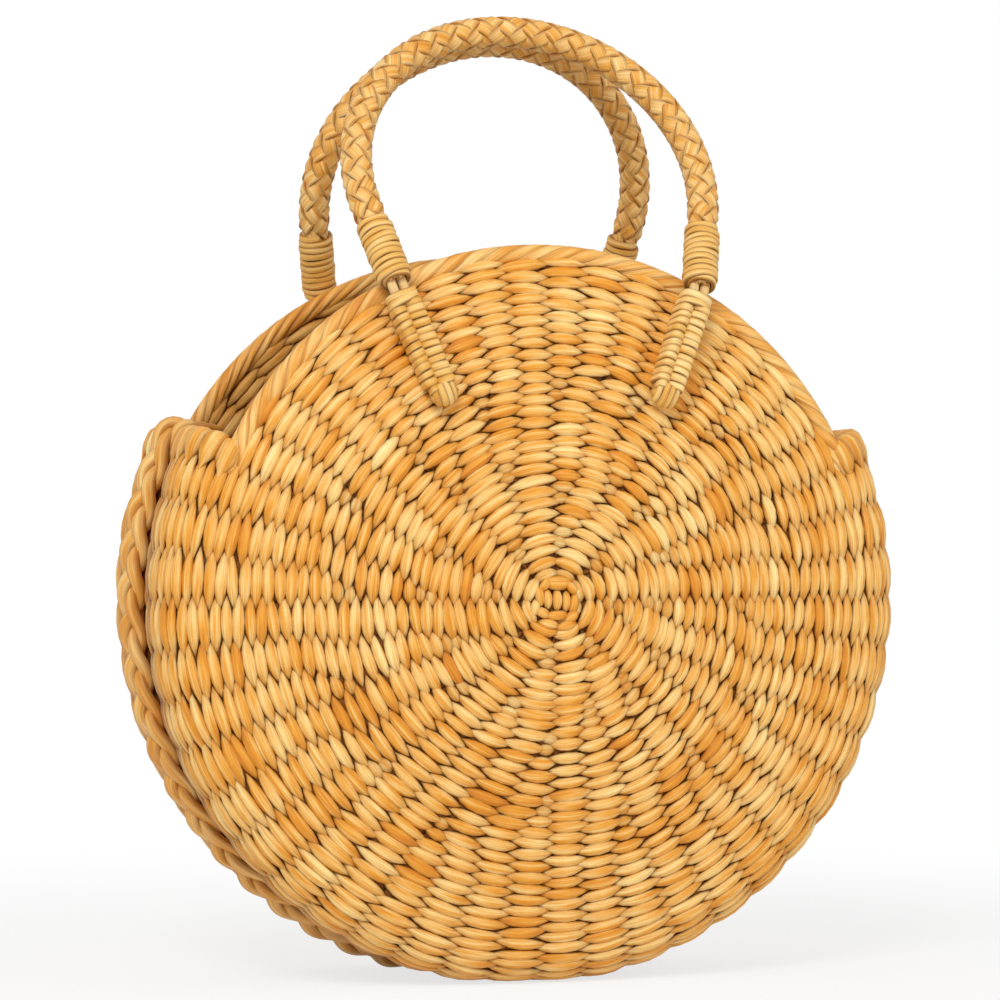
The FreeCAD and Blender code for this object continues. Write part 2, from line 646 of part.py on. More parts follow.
def rope_pipe(body, kind, name, half, start, radius):
    """Add or take away a round pipe along the rope."""
    path = rope_path(body, name + "_path", half, start)
    splay = f"Sizes.{half}_splay"
    section = body.newObject("Sketcher::SketchObject", name + "_section")
    section.AttachmentSupport = (plane(body, "XY_Plane"), [""])
    section.MapMode = "FlatFace"
    section.AttachmentOffset = Placement(Vector(0, 0, 0), Rotation(Vector(0, 1, 0), value(splay)))
    bind(section, **{
        ".AttachmentOffset.Base.x": f"Sizes.foot_half_span + ({start}) * sin({splay})",
        ".AttachmentOffset.Base.z": f"({start}) * cos({splay})",
        ".AttachmentOffset.Rotation.Angle": splay,
    })
    draw_circle(section, "0", "0", radius)
    pipe = body.newObject(kind, name)
    pipe.Profile = section
    pipe.Spine = (path, [])
    doc.recompute()
    return pipe


def core_strand(name, half, side_step):
    """One core strand of a handle: two straight ends and an arch, fused."""
    arch = bind(doc.addObject("Part::Torus", name + "_arch"),
                Radius1=f"Derived.{half}_arch + ({side_step})", Radius2="Sizes.strand_diameter / 2",
                Angle3=f"180 + 2 * Sizes.{half}_splay")
    splay = math.radians(value(f"Sizes.{half}_splay"))
    x_way = Vector(math.cos(splay), 0, -math.sin(splay))
    y_way = Vector(math.sin(splay), 0, math.cos(splay))
    arch.Placement = Placement(Vector(0, 0, value(f"Derived.{half}_centre")),
                               Rotation(x_way, y_way, Vector(0, -1, 0), "ZXY"))
    pieces = [arch]
    for side in (-1, 1):
        straight = bind(doc.addObject("Part::Cylinder", f"{name}_end"),
                        Radius="Sizes.strand_diameter / 2",
                        Height=f"Derived.{half}_end - Sizes.hinge_gap / 2")
        straight.Placement = end_frame(half, side) * Placement(
            Vector(side * value(side_step), 0, value("Sizes.hinge_gap / 2")), Rotation())
        pieces.append(straight)
    fuse = doc.addObject("Part::MultiFuse", name)
    fuse.Shapes = pieces
    fuse.Refine = False
    return fuse


lashing_shape = winding(
    "lashing", value("Derived.lashing_wide"), value("Derived.lashing_thick"),
    value("Sizes.lashing_pitch"), round(value("Sizes.lashing_turns")), value("Sizes.cord_diameter"),
    -value("Sizes.hinge_gap / 2 + Derived.leg_length - Sizes.wrap_clearance - Sizes.cord_diameter / 2"))
whipping_shape = winding(
    "whipping", value("Derived.whipping_radius"), value("Derived.whipping_radius"),
    value("Sizes.whipping_pitch"), round(value("Sizes.whipping_turns")), value("Sizes.cord_diameter"),
    value("Sizes.hinge_gap / 2 + Sizes.wrap_clearance + Sizes.cord_diameter / 2"))

for half, placement in HALVES.items():
    # The braid: a slim sleeve under the whippings, thick between them, with a bore.
    braid = doc.addObject("PartDesign::Body", f"{half}_handle_braid")
    rope_pipe(braid, "PartDesign::AdditivePipe", f"{half}_sleeve", half,
              "Sizes.hinge_gap / 2", "Derived.rope_end / 2")
    rope_pipe(braid, "PartDesign::AdditivePipe", f"{half}_rope", half,
              "Derived.whipping_top", "Sizes.rope_diameter / 2")
    rope_pipe(braid, "PartDesign::SubtractivePipe", f"{half}_bore", half,
              "Sizes.hinge_gap / 2", "Derived.rope_bore / 2")
    braid.Placement = handle_frame(half)
    keep(braid, f"{half}_handle_braid")
    core = doc.addObject("Part::Compound", f"{half}_handle_core")
    core.Links = [core_strand(f"{half}_core_in", half, "-Sizes.strand_spacing / 2"),
                  core_strand(f"{half}_core_out", half, "Sizes.strand_spacing / 2")]
    core.Placement = handle_frame(half)
    keep(core, f"{half}_handle_core")
    for side, sign in (("left", -1), ("right", 1)):
        own = sign if half == "front" else -sign
        foot = f"{half}_{side}"
        leg = placement * leg_frame(own)
        end = handle_frame(half) * end_frame(half, own)
        feature(f"{foot}_whipping", whipping_shape.copy(), end)
        feature(f"{foot}_leg_lashing", lashing_shape.copy(), leg)
        # The two strands on the disc, and their bend in the gap.
        strands = []
        bends = []
        for step in (-1, 1):
            strand = bind(doc.addObject("Part::Cylinder", f"{foot}_strand"),
                          Radius="Sizes.strand_diameter / 2", Height="Derived.leg_length")
            strand.Placement = Placement(Vector(
                step * value("Sizes.strand_spacing / 2"), 0,
                -value("Sizes.hinge_gap / 2 + Derived.leg_length")), Rotation())
            strands.append(strand)
            # The strand on the same side of leg and handle joins up.
            low = leg.multVec(Vector(step * value("Sizes.strand_spacing / 2"), 0,
                                     -value("Sizes.hinge_gap / 2")))
            tops = [end.multVec(Vector(s * value("Sizes.strand_spacing / 2"), 0,
                                       value("Sizes.hinge_gap / 2"))) for s in (-1, 1)]
            high = min(tops, key=lambda p: (p - low).Length)
            low_way = leg.Rotation.multVec(Vector(0, 0, 1))
            high_way = end.Rotation.multVec(Vector(0, 0, 1))
            bends.append(tube(biarc(low, low_way, high, high_way), low_way,
                              value("Sizes.strand_diameter")))
        legs = doc.addObject("Part::Compound", f"{foot}_leg_core")
        legs.Links = strands
        legs.Placement = leg
        keep(legs, f"{foot}_leg_core")
        feature(f"{foot}_hinge_strands", Part.makeCompound(bends), Placement())
        knot = bind(doc.addObject("Part::Ellipsoid", f"{foot}_leg_knot"),
                    Radius1="Sizes.knot_length",
                    Radius2="Derived.lashing_wide + Sizes.cord_diameter / 2 - Sizes.knot_inset",
                    Radius3="Derived.leg_outer - Sizes.knot_inset", Angle2="0")
        knot.Placement = leg * Placement(Vector(
            0, 0, -value("Sizes.hinge_gap / 2 + Derived.leg_length + Sizes.wrap_clearance")), Rotation())
        keep(knot, f"{foot}_leg_knot")

doc.recompute()

# Every object has to be sound before anything is written.
for obj in doc.Objects:
    if "Invalid" in obj.State or "Error" in obj.State:
        raise ValueError(f"{obj.Label}: {obj.State}")
for label, obj in nodes.items():
    if obj.Shape.isNull() or not obj.Shape.isValid() or not obj.Shape.Solids:
        raise ValueError(f"{label}: no valid solid")

os.makedirs("parts", exist_ok=True)
for label, obj in nodes.items():
    obj.Shape.exportStep(f"parts/{label}.step")
    box = obj.Shape.optimalBoundingBox(False)
    print(f"{label}: {len(obj.Shape.Solids)} solids, {obj.Shape.Volume / 1000:.1f} cm3,"
          f" z {box.ZMin:.1f} to {box.ZMax:.1f}")

for half in HALVES:
    front = -1 if half == "front" else 1
    print(f"{half} hinge line: y {front * value('Derived.hinge_out'):.2f},"
          f" z {value('Derived.axis_height + Derived.foot_up'):.2f},"
          f" lean {value('Derived.' + half + '_lean'):.2f},"
          f" arch {value('Derived.' + half + '_arch'):.2f},"
          f" top {value('Derived.' + half + '_centre + Derived.' + half + '_arch'):.2f}")
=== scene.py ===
# %% [markdown]
# A round straw bag
#
# The bag is woven from flat, twisted plant leaves. Two dished halves stand rim to rim, and each
# carries a braided handle. Nearly everything here is a strand: a long soft leaf that goes over, under
# and round other strands. So this lesson has one mesh builder for strands, and every piece below is a
# formula that says where its strands run.

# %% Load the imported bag
import json
import math

import bpy
import numpy as np
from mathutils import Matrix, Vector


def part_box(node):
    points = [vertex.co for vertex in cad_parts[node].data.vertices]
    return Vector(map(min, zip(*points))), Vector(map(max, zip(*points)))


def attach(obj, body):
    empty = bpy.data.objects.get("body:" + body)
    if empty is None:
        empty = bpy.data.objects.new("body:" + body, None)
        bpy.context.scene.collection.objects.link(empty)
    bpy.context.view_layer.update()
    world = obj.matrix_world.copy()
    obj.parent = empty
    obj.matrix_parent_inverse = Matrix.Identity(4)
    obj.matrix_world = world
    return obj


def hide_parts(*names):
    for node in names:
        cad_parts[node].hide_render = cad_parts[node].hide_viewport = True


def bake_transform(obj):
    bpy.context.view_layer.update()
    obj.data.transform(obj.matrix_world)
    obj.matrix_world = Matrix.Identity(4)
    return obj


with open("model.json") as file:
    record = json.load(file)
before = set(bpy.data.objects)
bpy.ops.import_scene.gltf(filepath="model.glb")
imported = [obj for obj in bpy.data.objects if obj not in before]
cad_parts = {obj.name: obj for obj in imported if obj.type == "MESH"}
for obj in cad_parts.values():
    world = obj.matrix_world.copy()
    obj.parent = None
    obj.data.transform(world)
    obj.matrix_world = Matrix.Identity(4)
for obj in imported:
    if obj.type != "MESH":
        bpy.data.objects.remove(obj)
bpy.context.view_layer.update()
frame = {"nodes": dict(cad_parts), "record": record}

SEED = 7

rng = np.random.default_rng(SEED)

# %% [markdown]
# Camera
#
# The bag is seen from its left, a little off the front, by a level camera that stands well back. The
# lens is long, so the disc looks nearly flat. A camera could be aimed with a constraint, but a level
# camera needs only a place and a turn about the upright axis.

# %% Place the camera
MM = 0.001
CAMERA_TURN = math.radians(-17)
CAMERA_DISTANCE = 2.0
CAMERA_RISE = 0.0455
CAMERA_SIDE = -0.0026
LENS_PIXELS = 4250
IMAGE_PIXELS = 1000
hub_low, hub_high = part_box("front_stake_hub")
bag_middle = (hub_low + hub_high) / 2
AXIS_HEIGHT = bag_middle.z / MM


def add_object(name, data):
    """A new object in the scene, at the origin."""
    made = bpy.data.objects.new(name, data)
    bpy.context.scene.collection.objects.link(made)
    return made


camera_data = bpy.data.cameras.new("camera")
camera_data.lens = LENS_PIXELS / IMAGE_PIXELS * camera_data.sensor_width
camera = add_object("camera", camera_data)
camera.location = (
    math.sin(CAMERA_TURN) * CAMERA_DISTANCE + math.cos(CAMERA_TURN) * CAMERA_SIDE,
    -math.cos(CAMERA_TURN) * CAMERA_DISTANCE + math.sin(CAMERA_TURN) * CAMERA_SIDE,
    AXIS_HEIGHT * MM + CAMERA_RISE,
)
camera.rotation_euler = (math.pi / 2, 0, CAMERA_TURN)
bpy.context.scene.camera = camera
print("camera at", [round(v, 3) for v in camera.location])

# %% [markdown]
# Studio
#
# A pale floor, a white world and two large soft lamps. For rays from the camera, the floor and the
# world are white by themselves. Near the bag the floor keeps some of its real shading, so that the
# shadow under the bag stays; further off it fades to plain white. The lamps are set so that a colour
# comes out about as it is written. A finish is a net of nodes, and the first helpers below build such
# nets here and further on.

# %% Build the world
WHITE = (1, 1, 1, 1)
WORLD_LIGHT = 0.55


def fill(tree, socket, value):
    """Link another node's output to a socket, or write a number or a colour on it."""
    if isinstance(value, bpy.types.NodeSocket):
        tree.links.new(value, socket)
    else:
        socket.default_value = value


def add_node(tree, kind, inputs=None, **settings):
    """A new shader node with its settings and inputs. An input goes by its name or number."""
    node = tree.nodes.new("ShaderNode" + kind)
    for name, value in settings.items():
        setattr(node, name, value)
    for name, value in (inputs or {}).items():
        fill(tree, node.inputs[name], value)
    return node


def math_node(tree, operation, first, second):
    """One Math node; either side may be a socket or a number."""
    return add_node(tree, "Math", {0: first, 1: second}, operation=operation).outputs[0]


def seen_ray(tree):
    """1 for a ray from the camera, or one that a glossy or clear surface sends on; otherwise 0."""
    path = add_node(tree, "LightPath").outputs
    seen = path["Is Camera Ray"]
    for name in ("Is Glossy Ray", "Is Transmission Ray"):
        seen = math_node(tree, "MAXIMUM", seen, path[name])
    return seen


def mix_shaders(tree, output, factor, first, second):
    """Mix two shaders and lead the mix to an output node."""
    mix = add_node(tree, "MixShader", {0: factor, 1: first.outputs[0], 2: second.outputs[0]})
    fill(tree, tree.nodes[output].inputs["Surface"], mix.outputs[0])


def build_world():
    """White where it is seen, softer where it only lights the bag."""
    world = bpy.data.worlds.new("studio")
    world.use_nodes = True
    tree = world.node_tree
    light = tree.nodes["Background"]
    fill(tree, light.inputs["Color"], WHITE)
    fill(tree, light.inputs["Strength"], WORLD_LIGHT)
    white = add_node(tree, "Background", {"Color": WHITE})
    mix_shaders(tree, "World Output", seen_ray(tree), light, white)
    bpy.context.scene.world = world


build_world()
print("world light", WORLD_LIGHT)

# %% Build the floor
FLOOR_HALF_SIDE = 6.0
FLOOR_PALE = (0.9, 0.9, 0.9, 1)
FLOOR_ROUGHNESS = 0.9
FLOOR_GLOW = 0.74
FADE_START = 0.25
FADE_END = 0.8


def new_material(name):
    """A new material, its node tree and its Principled shader."""
    material = bpy.data.materials.new(name)
    material.use_nodes = True
    return material, material.node_tree, material.node_tree.nodes["Principled BSDF"]


def build_floor():
    """A square on the ground: matt and pale, mixed with its own glow for rays that are seen."""
    half = FLOOR_HALF_SIDE
    mesh = bpy.data.meshes.new("floor")
    corners = [(-half, -half, 0), (half, -half, 0), (half, half, 0), (-half, half, 0)]
    mesh.from_pydata(corners, [], [(0, 1, 2, 3)])
    material, tree, matt = new_material("studio_floor")
    fill(tree, matt.inputs["Base Color"], FLOOR_PALE)
    fill(tree, matt.inputs["Roughness"], FLOOR_ROUGHNESS)
    place = add_node(tree, "TexCoord").outputs["Object"]
    distance = add_node(tree, "VectorMath", {0: place}, operation="LENGTH").outputs["Value"]
    fade = add_node(tree, "MapRange", {"Value": distance, "From Min": FADE_START, "From Max": FADE_END,
                                       "To Min": FLOOR_GLOW, "To Max": 1},
                    interpolation_type="SMOOTHSTEP").outputs[0]
    share = math_node(tree, "MULTIPLY", seen_ray(tree), fade)
    mix_shaders(tree, "Material Output", share, matt, add_node(tree, "Emission"))
    mesh.materials.append(material)
    add_object("floor", mesh)


build_floor()
print("floor fades to white from", FADE_START, "to", FADE_END, "metres")

# %% Hang the lamps
def add_lamp(name, place, size, power):
    """A square lamp that faces the middle of the bag."""
    data = bpy.data.lights.new(name, "AREA")
    data.size = size
    data.energy = power
    lamp = add_object(name, data)
    lamp.location = place
    lamp.rotation_euler = (bag_middle - lamp.location).to_track_quat("-Z", "Y").to_euler()


add_lamp("key_lamp", place=(-1.0, -1.7, 1.7), size=0.9, power=32)
add_lamp("fill_lamp", place=(1.5, -1.5, 0.9), size=1.4, power=8)
bpy.context.scene.view_settings.view_transform = "Standard"

# %% [markdown]
# Straw, the finish
#
# Dried leaf is golden, with long fibres, paler and browner streaks, and a soft shine. Each strand
# carries a UV map in millimetres, along and across itself, and a tone of its own, so the fibres follow
# the strand wherever it goes. One node group makes the colour, the roughness and the fine relief, and
# each material sets its own colours on it. Each point also carries a shade value, which mixes the colour
# towards brown. That is painted shade where strands meet their neighbours, lie under them and dive in,
# and at the ends of the stitches it is partly the leaf's own amber as well.

# %% Build the straw node group
STRAW_COLOURS = ("Dark", "Middle", "Pale", "ShadeBrown")
# Rates of a noise along a strand, across it and by its tone.
FIBRE_RATES = (0.045, 2.4, 41)
STREAK_RATES = (0.05, 0.42, 67)
PATCH_SCALE = 16
# The part of a noise's range that is spread over 0 to 1, and its weight in the colour.
FIBRE_PART = (0.3, 0.7, 0.32)
STREAK_PART = (0.22, 0.78, 0.44)
PATCH_PART = (0.3, 0.7, 0.08)
TONE_WEIGHT = 0.42
DARK_TO_MIDDLE = (0.18, 0.55)
MIDDLE_TO_PALE = (0.55, 0.98)
LEAST_ROUGHNESS = 0.4
FIBRE_ROUGHNESS = 0.22
STREAK_HEIGHT = 0.8


def strand_noise(tree, point, rates, detail):
    """Noise drawn out along a strand; the tone shifts it, so that no two strands match."""
    scaled = add_node(tree, "VectorMath", {0: point, 1: rates}, operation="MULTIPLY").outputs[0]
    return add_node(tree, "TexNoise", {"Vector": scaled, "Scale": 1, "Detail": detail}).outputs[0]


def stretched(tree, value, low, high):
    """Part of a range, low to high, spread over 0 to 1."""
    return add_node(tree, "MapRange", {"Value": value, "From Min": low, "From Max": high}).outputs[0]


def colour_part(tree, noise, low, high, weight):
    """What a noise adds to the colour: part of its range, spread out and weighted."""
    return math_node(tree, "MULTIPLY", stretched(tree, noise, low, high), weight)


def mix_colours(tree, factor, first, second):
    """One Mix node for colours."""
    return add_node(tree, "Mix", {0: factor, 6: first, 7: second}, data_type="RGBA").outputs[2]


def build_straw_group():
    """Leaf colour from three colours by tone, streaks, fibres and patches; the shade value mixes in brown
    for painted shade, and partly for the leaf's amber ends.
    """
    group = bpy.data.node_groups.new("straw", "ShaderNodeTree")
    for name in STRAW_COLOURS:
        group.interface.new_socket(name, in_out="INPUT", socket_type="NodeSocketColor")
    for name, kind in (("Color", "Color"), ("Roughness", "Float"), ("Height", "Float")):
        group.interface.new_socket(name, in_out="OUTPUT", socket_type="NodeSocket" + kind)
    given = group.nodes.new("NodeGroupInput").outputs
    made = group.nodes.new("NodeGroupOutput").inputs
    uv = add_node(group, "UVMap", uv_map="strand").outputs[0]
    sides = add_node(group, "SeparateXYZ", {0: uv}).outputs
    tone = add_node(group, "Attribute", attribute_name="tone").outputs["Fac"]
    shade = add_node(group, "Attribute", attribute_name="shade").outputs["Fac"]
    point = add_node(group, "CombineXYZ", {0: sides[0], 1: sides[1], 2: tone}).outputs[0]
    fibre = strand_noise(group, point, FIBRE_RATES, detail=3)
    streak = strand_noise(group, point, STREAK_RATES, detail=2)
    place = add_node(group, "TexCoord").outputs["Object"]
    patch = add_node(group, "TexNoise", {"Vector": place, "Scale": PATCH_SCALE, "Detail": 2}).outputs[0]
    fine = math_node(group, "ADD", colour_part(group, streak, *STREAK_PART),
                     colour_part(group, fibre, *FIBRE_PART))
    broad = math_node(group, "ADD", colour_part(group, patch, *PATCH_PART),
                      math_node(group, "MULTIPLY", tone, TONE_WEIGHT))
    level = math_node(group, "ADD", fine, broad)
    lower = mix_colours(group, stretched(group, level, *DARK_TO_MIDDLE), given["Dark"], given["Middle"])
    leaf = mix_colours(group, stretched(group, level, *MIDDLE_TO_PALE), lower, given["Pale"])
    # Painted shade: the leaf colour goes towards brown as the shade value rises.
    fill(group, made["Color"], mix_colours(group, shade, leaf, given["ShadeBrown"]))
    rough = math_node(group, "MULTIPLY", fibre, FIBRE_ROUGHNESS)
    fill(group, made["Roughness"], math_node(group, "ADD", rough, LEAST_ROUGHNESS))
    ridge = math_node(group, "MULTIPLY", streak, STREAK_HEIGHT)
    fill(group, made["Height"], math_node(group, "ADD", fibre, ridge))
    return group


straw_group = build_straw_group()
print("straw group:", len(straw_group.nodes), "nodes")

# %% Make the straw materials
RELIEF_DEPTH = 0.00022
STRAW_GLOSS = 0.35
HIDDEN_GLOSS = 0.1
# Brown of painted shade, mixed in by each point's shade value; at stitch ends it also gives the leaf's own
# amber.
SHADE_BROWN = (112, 54, 8)


def srgb(red, green, blue):
    """A screen colour, 0 to 255, as the linear colour that the nodes use."""
    share = np.array([red, green, blue]) / 255
    linear = np.where(share <= 0.04045, share / 12.92, ((share + 0.055) / 1.055) ** 2.4)
    return (*linear.tolist(), 1.0)


def straw_material(name, dark, middle, pale, relief, gloss=STRAW_GLOSS):
    """A leaf finish: the straw group on a Principled shader, with its relief as bump."""
    material, tree, shader = new_material(name)
    colours = {socket: srgb(*colour) for socket, colour in zip(STRAW_COLOURS, (dark, middle, pale, SHADE_BROWN))}
    straw = add_node(tree, "Group", colours, node_tree=straw_group).outputs
    bump = add_node(tree, "Bump", {"Strength": relief, "Distance": RELIEF_DEPTH, "Height": straw["Height"]})
    fill(tree, shader.inputs["Specular IOR Level"], gloss)
    fill(tree, shader.inputs["Base Color"], straw["Color"])
    fill(tree, shader.inputs["Roughness"], straw["Roughness"])
    fill(tree, shader.inputs["Normal"], bump.outputs[0])
    return material


weave_straw = straw_material("weave_straw", (196, 102, 12), (231, 156, 43), (255, 229, 156), 1.0)
lining_straw = straw_material("lining_straw", (176, 98, 22), (214, 146, 54), (238, 198, 120), 0.8)
border_straw = straw_material("border_straw", (192, 104, 18), (227, 156, 56), (254, 220, 146), 0.9)
rope_straw = straw_material("rope_straw", (188, 100, 14), (230, 160, 56), (255, 226, 156), 0.9)
cord_straw = straw_material("cord_straw", (190, 112, 26), (231, 174, 78), (255, 226, 158), 0.9)
core_straw = straw_material("core_straw", (196, 140, 70), (228, 184, 112), (246, 216, 158), 0.8)
# Darker, browner straw for the stakes, which show only deep in the gaps between stitches: painted shade.
shaded_straw = straw_material("shaded_straw", (96, 54, 20), (122, 72, 28), (150, 92, 40), 0.5, HIDDEN_GLOSS)
print("materials:", [m.name for m in bpy.data.materials])

# %% [markdown]
# Strands, the one mesh builder
#
# Every strand is a row of rings with a point at each end. A piece is many strands of the same make,
# held in whole arrays: strand, ring, place on the ring. The faces of one strand are worked out once as
# numbers and shifted for all the others, so no loop goes over the vertices.

# %% Turn rings into a mesh
SETTLE = 3.0


def settle(points):
    """The weave settles on the floor: under SETTLE, heights ease off as SETTLE exp(height / SETTLE - 1)."""
    height = points[:, 2:]
    eased = SETTLE * np.exp(np.minimum(height, SETTLE) / SETTLE - 1)
    return np.concatenate([points[:, :2], np.where(height < SETTLE, eased, height)], axis=1)


def strand_faces(count, rings, places):
    """Corner numbers of the faces: four-sided bands between rings, three-sided fans at the points."""
    ring = np.arange(rings - 1)[:, None] * places
    place = np.arange(places)
    after = (place + 1) % places
    band = np.stack([ring + place, ring + after, ring + places + after, ring + places + place], axis=-1)
    last = (rings - 1) * places
    start_point = np.full(places, rings * places)
    fan = np.concatenate([np.stack([start_point, after, place], axis=-1),
                          np.stack([start_point + 1, last + place, last + after], axis=-1)])
    shift = np.arange(count)[:, None, None] * (rings * places + 2)
    return band.reshape(1, -1, 4) + shift, fan[None] + shift


def put_mesh(name, points, quads, triangles, uv, values, material):
    """Write whole arrays into a new mesh: places, faces, the UV map and values for each point."""
    corners = np.concatenate([quads.ravel(), triangles.ravel()])
    sizes = np.repeat([4, 3], [quads.size // 4, triangles.size // 3])
    mesh = bpy.data.meshes.new(name)
    mesh.vertices.add(len(points))
    mesh.vertices.foreach_set("co", points.astype(np.float32).ravel())
    mesh.loops.add(len(corners))
    mesh.loops.foreach_set("vertex_index", corners.astype(np.int32))
    mesh.polygons.add(len(sizes))
    mesh.polygons.foreach_set("loop_start", (np.cumsum(sizes) - sizes).astype(np.int32))
    mesh.polygons.foreach_set("use_smooth", np.ones(len(sizes), bool))
    layer = mesh.uv_layers.new(name="strand")
    layer.uv.foreach_set("vector", uv[corners].astype(np.float32).ravel())
    for attribute, held in values.items():
        made = mesh.attributes.new(attribute, "FLOAT", "POINT")
        made.data.foreach_set("value", held.astype(np.float32))
    mesh.update(calc_edges=True)
    mesh.validate()
    mesh.materials.append(material)
    return add_object(name, mesh)


def strand_mesh(name, rings, tips, along, across, tone, shade, material):
    """Rings (strand, ring, place, xyz) and tips (strand, 2, xyz) in millimetres, as one mesh object."""
    full = rings.shape[:3]
    count = full[0]
    points = settle(np.concatenate([rings.reshape(count, -1, 3), tips], axis=1).reshape(-1, 3)) * MM
    u, v, dark = (np.broadcast_to(a, full).reshape(count, -1) for a in (along[:, :, None], across, shade))
    ends = along[:, [0, -1]]
    u = np.concatenate([u, ends], axis=1).ravel()
    v = np.concatenate([v, 0 * ends], axis=1).ravel()
    values = {"tone": np.repeat(tone, full[1] * full[2] + 2),
              "shade": np.concatenate([dark, dark[:, [0, -1]]], axis=1).ravel()}
    piece = put_mesh(name, points, *strand_faces(*full), np.stack([u, v], axis=-1), values, material)
    print(f"{name}: {count} strands, {len(piece.data.polygons)} faces")
    return piece


def place_piece(piece, body, slot, *nodes):
    """Let a piece ride on its body and stand for its solids, which it hides; its slot is not used."""
    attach(piece, body)
    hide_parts(*nodes)


print("a strand of 3 rings with 4 places has", [faces.shape[1] for faces in strand_faces(1, 3, 4)], "faces")

# %% [markdown]
# Sweeping a strand
#
# Most strands are one flat section carried along a path. The section is a rounded oval, and it turns with
# the path, so that its flat side faces where the piece says. Each kind of strand has its own section and
# finish, and is painted darker towards its edges and its underside: painted shade, where it meets its
# neighbours.

# %% Carry sections along paths
X_WAY, Y_WAY, Z_WAY = np.eye(3)


def unit(vectors):
    """Vectors of length one."""
    return vectors / np.linalg.norm(vectors, axis=-1, keepdims=True)


def around(turn, first, second):
    """Direction at a turn: its cosine times a first direction, plus its sine times a second one."""
    return np.cos(turn)[..., None] * first + np.sin(turn)[..., None] * second


def strand_kind(material, places, squareness, dark, under=True):
    """How a kind of strand is made: its finish, its section, and the painted shade of its edges and
    underside.

    The section is the cosine and sine of a full turn, each raised to a power under 1.
    """
    turn = np.arange(places) / places * 2 * np.pi
    circle = np.stack([np.cos(turn), np.sin(turn)], axis=-1)
    section = np.sign(circle) * np.abs(circle) ** squareness
    # Painted shade at the section's edges and, unless under is False, on its underside.
    edge = np.abs(section[:, 0]) ** 3
    if under:
        edge = np.maximum(edge, np.clip(-section[:, 1], 0, 1))
    return {"material": material, "section": section, "shade": dark * edge}


def sweep(path, normal, half_width, half_thick, section):
    """Carry a section along each path: its width lies across the path, its thickness along the normal.

    Across is the normal crossed with the path's direction; the tips lie half a thickness past the ends.
    """
    way = unit(np.gradient(path, axis=1))
    side = unit(np.cross(normal, way))
    rise = np.cross(way, side)
    wide = half_width[..., None, None] * section[:, 0, None] * side[:, :, None]
    thick = half_thick[..., None, None] * section[:, 1, None] * rise[:, :, None]
    rings = path[:, :, None] + wide + thick
    reach = half_thick[:, [0, -1], None] * way[:, [0, -1]]
    tips = path[:, [0, -1]] + reach * np.array([-1, 1])[None, :, None]
    steps = np.linalg.norm(np.diff(path, axis=1), axis=-1)
    along = np.concatenate([np.zeros((len(path), 1)), np.cumsum(steps, axis=1)], axis=1)
    return rings, tips, along, half_width[..., None] * section[:, 0]


def add_swept(name, kind, path, normal, half_width, half_thick, tone):
    """Sweep strands of a kind and make them one piece. Widths may be numbers or one value for each ring."""
    half_width = np.broadcast_to(half_width, path.shape[:2])
    half_thick = np.broadcast_to(half_thick, path.shape[:2])
    swept = sweep(path, np.broadcast_to(normal, path.shape), half_width, half_thick, kind["section"])
    return strand_mesh(name, *swept, tone, kind["shade"], kind["material"])


print("a flat section:", strand_kind(weave_straw, 6, 0.6, 1)["section"].round(2).tolist())

# %% [markdown]
# The wall of a half
#
# A half is a shallow dome that turns over a round edge into half of the side wall, and then turns in to
# the seam, where a flat border edges it. Its section is four arcs and a straight stretch, each tangent
# to the next. Everything woven lies on it, so the first formula turns a distance from the middle, an
# angle round the bag and a depth under the outside into a point. Lengths are in millimetres.

# %% Measure the half
half_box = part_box("front_outer_weave")
BULGE_RADIUS = half_box[1].x / MM
HALF_DEPTH = -half_box[0].y / MM
EDGE_WIDTH = 17.0
RIM_DEPTH = 58.0
WALL = 7.6
LIP_TURN = math.radians(12)
SEAM_WIDTH = 20.0
SEAM_END = 4.0
SEAM_TILT = math.radians(32)
SEAM_GAP = 0.3
FOLD_RADIUS = 20.0
BORDER_CLEARANCE = 0.2
MOUTH_BORDER = 7.6
SHOULDER_ANGLE = math.radians(24)

RIM_RADIUS = BULGE_RADIUS - EDGE_WIDTH
DOME_RISE = HALF_DEPTH - RIM_DEPTH
DOME_RADIUS = (RIM_RADIUS ** 2 + DOME_RISE ** 2) / (2 * DOME_RISE)
DOME_HEIGHT = HALF_DEPTH - DOME_RADIUS
RIM_ANGLE = math.asin(RIM_RADIUS / DOME_RADIUS)
CORNER_RADIUS = EDGE_WIDTH / (1 - math.sin(RIM_ANGLE))
CORNER_ACROSS = (DOME_RADIUS - CORNER_RADIUS) * math.sin(RIM_ANGLE)
CORNER_HEIGHT = DOME_HEIGHT + (DOME_RADIUS - CORNER_RADIUS) * math.cos(RIM_ANGLE)
SEAM_SPAN = SEAM_WIDTH - 2 * SEAM_END
SEAM_STEP = SEAM_END + BORDER_CLEARANCE
LIP_DROP = CORNER_HEIGHT - SEAM_END - SEAM_GAP / 2 - SEAM_SPAN * math.cos(SEAM_TILT)
LIP_MIDDLE = (LIP_DROP - SEAM_STEP * math.cos(LIP_TURN)) / math.sin(LIP_TURN)
LIP_RADIUS = LIP_MIDDLE + WALL / 2
LIP_ACROSS = BULGE_RADIUS - LIP_RADIUS
FOLD_ACROSS = LIP_ACROSS + (LIP_RADIUS - FOLD_RADIUS) * math.cos(LIP_TURN)
FOLD_HEIGHT = CORNER_HEIGHT - (LIP_RADIUS - FOLD_RADIUS) * math.sin(LIP_TURN)
DOME_RUN = DOME_RADIUS * RIM_ANGLE
CORNER_RUN = CORNER_RADIUS * (math.pi / 2 - RIM_ANGLE)
LIP_RUN = LIP_RADIUS * LIP_TURN
LIP_END = DOME_RUN + CORNER_RUN + LIP_RUN
WALL_RUN = LIP_END + FOLD_RADIUS * (SEAM_TILT - LIP_TURN)
print("bulge", round(BULGE_RADIUS, 1), "dome", round(DOME_RADIUS, 1), "wall ends at", round(WALL_RUN, 1))

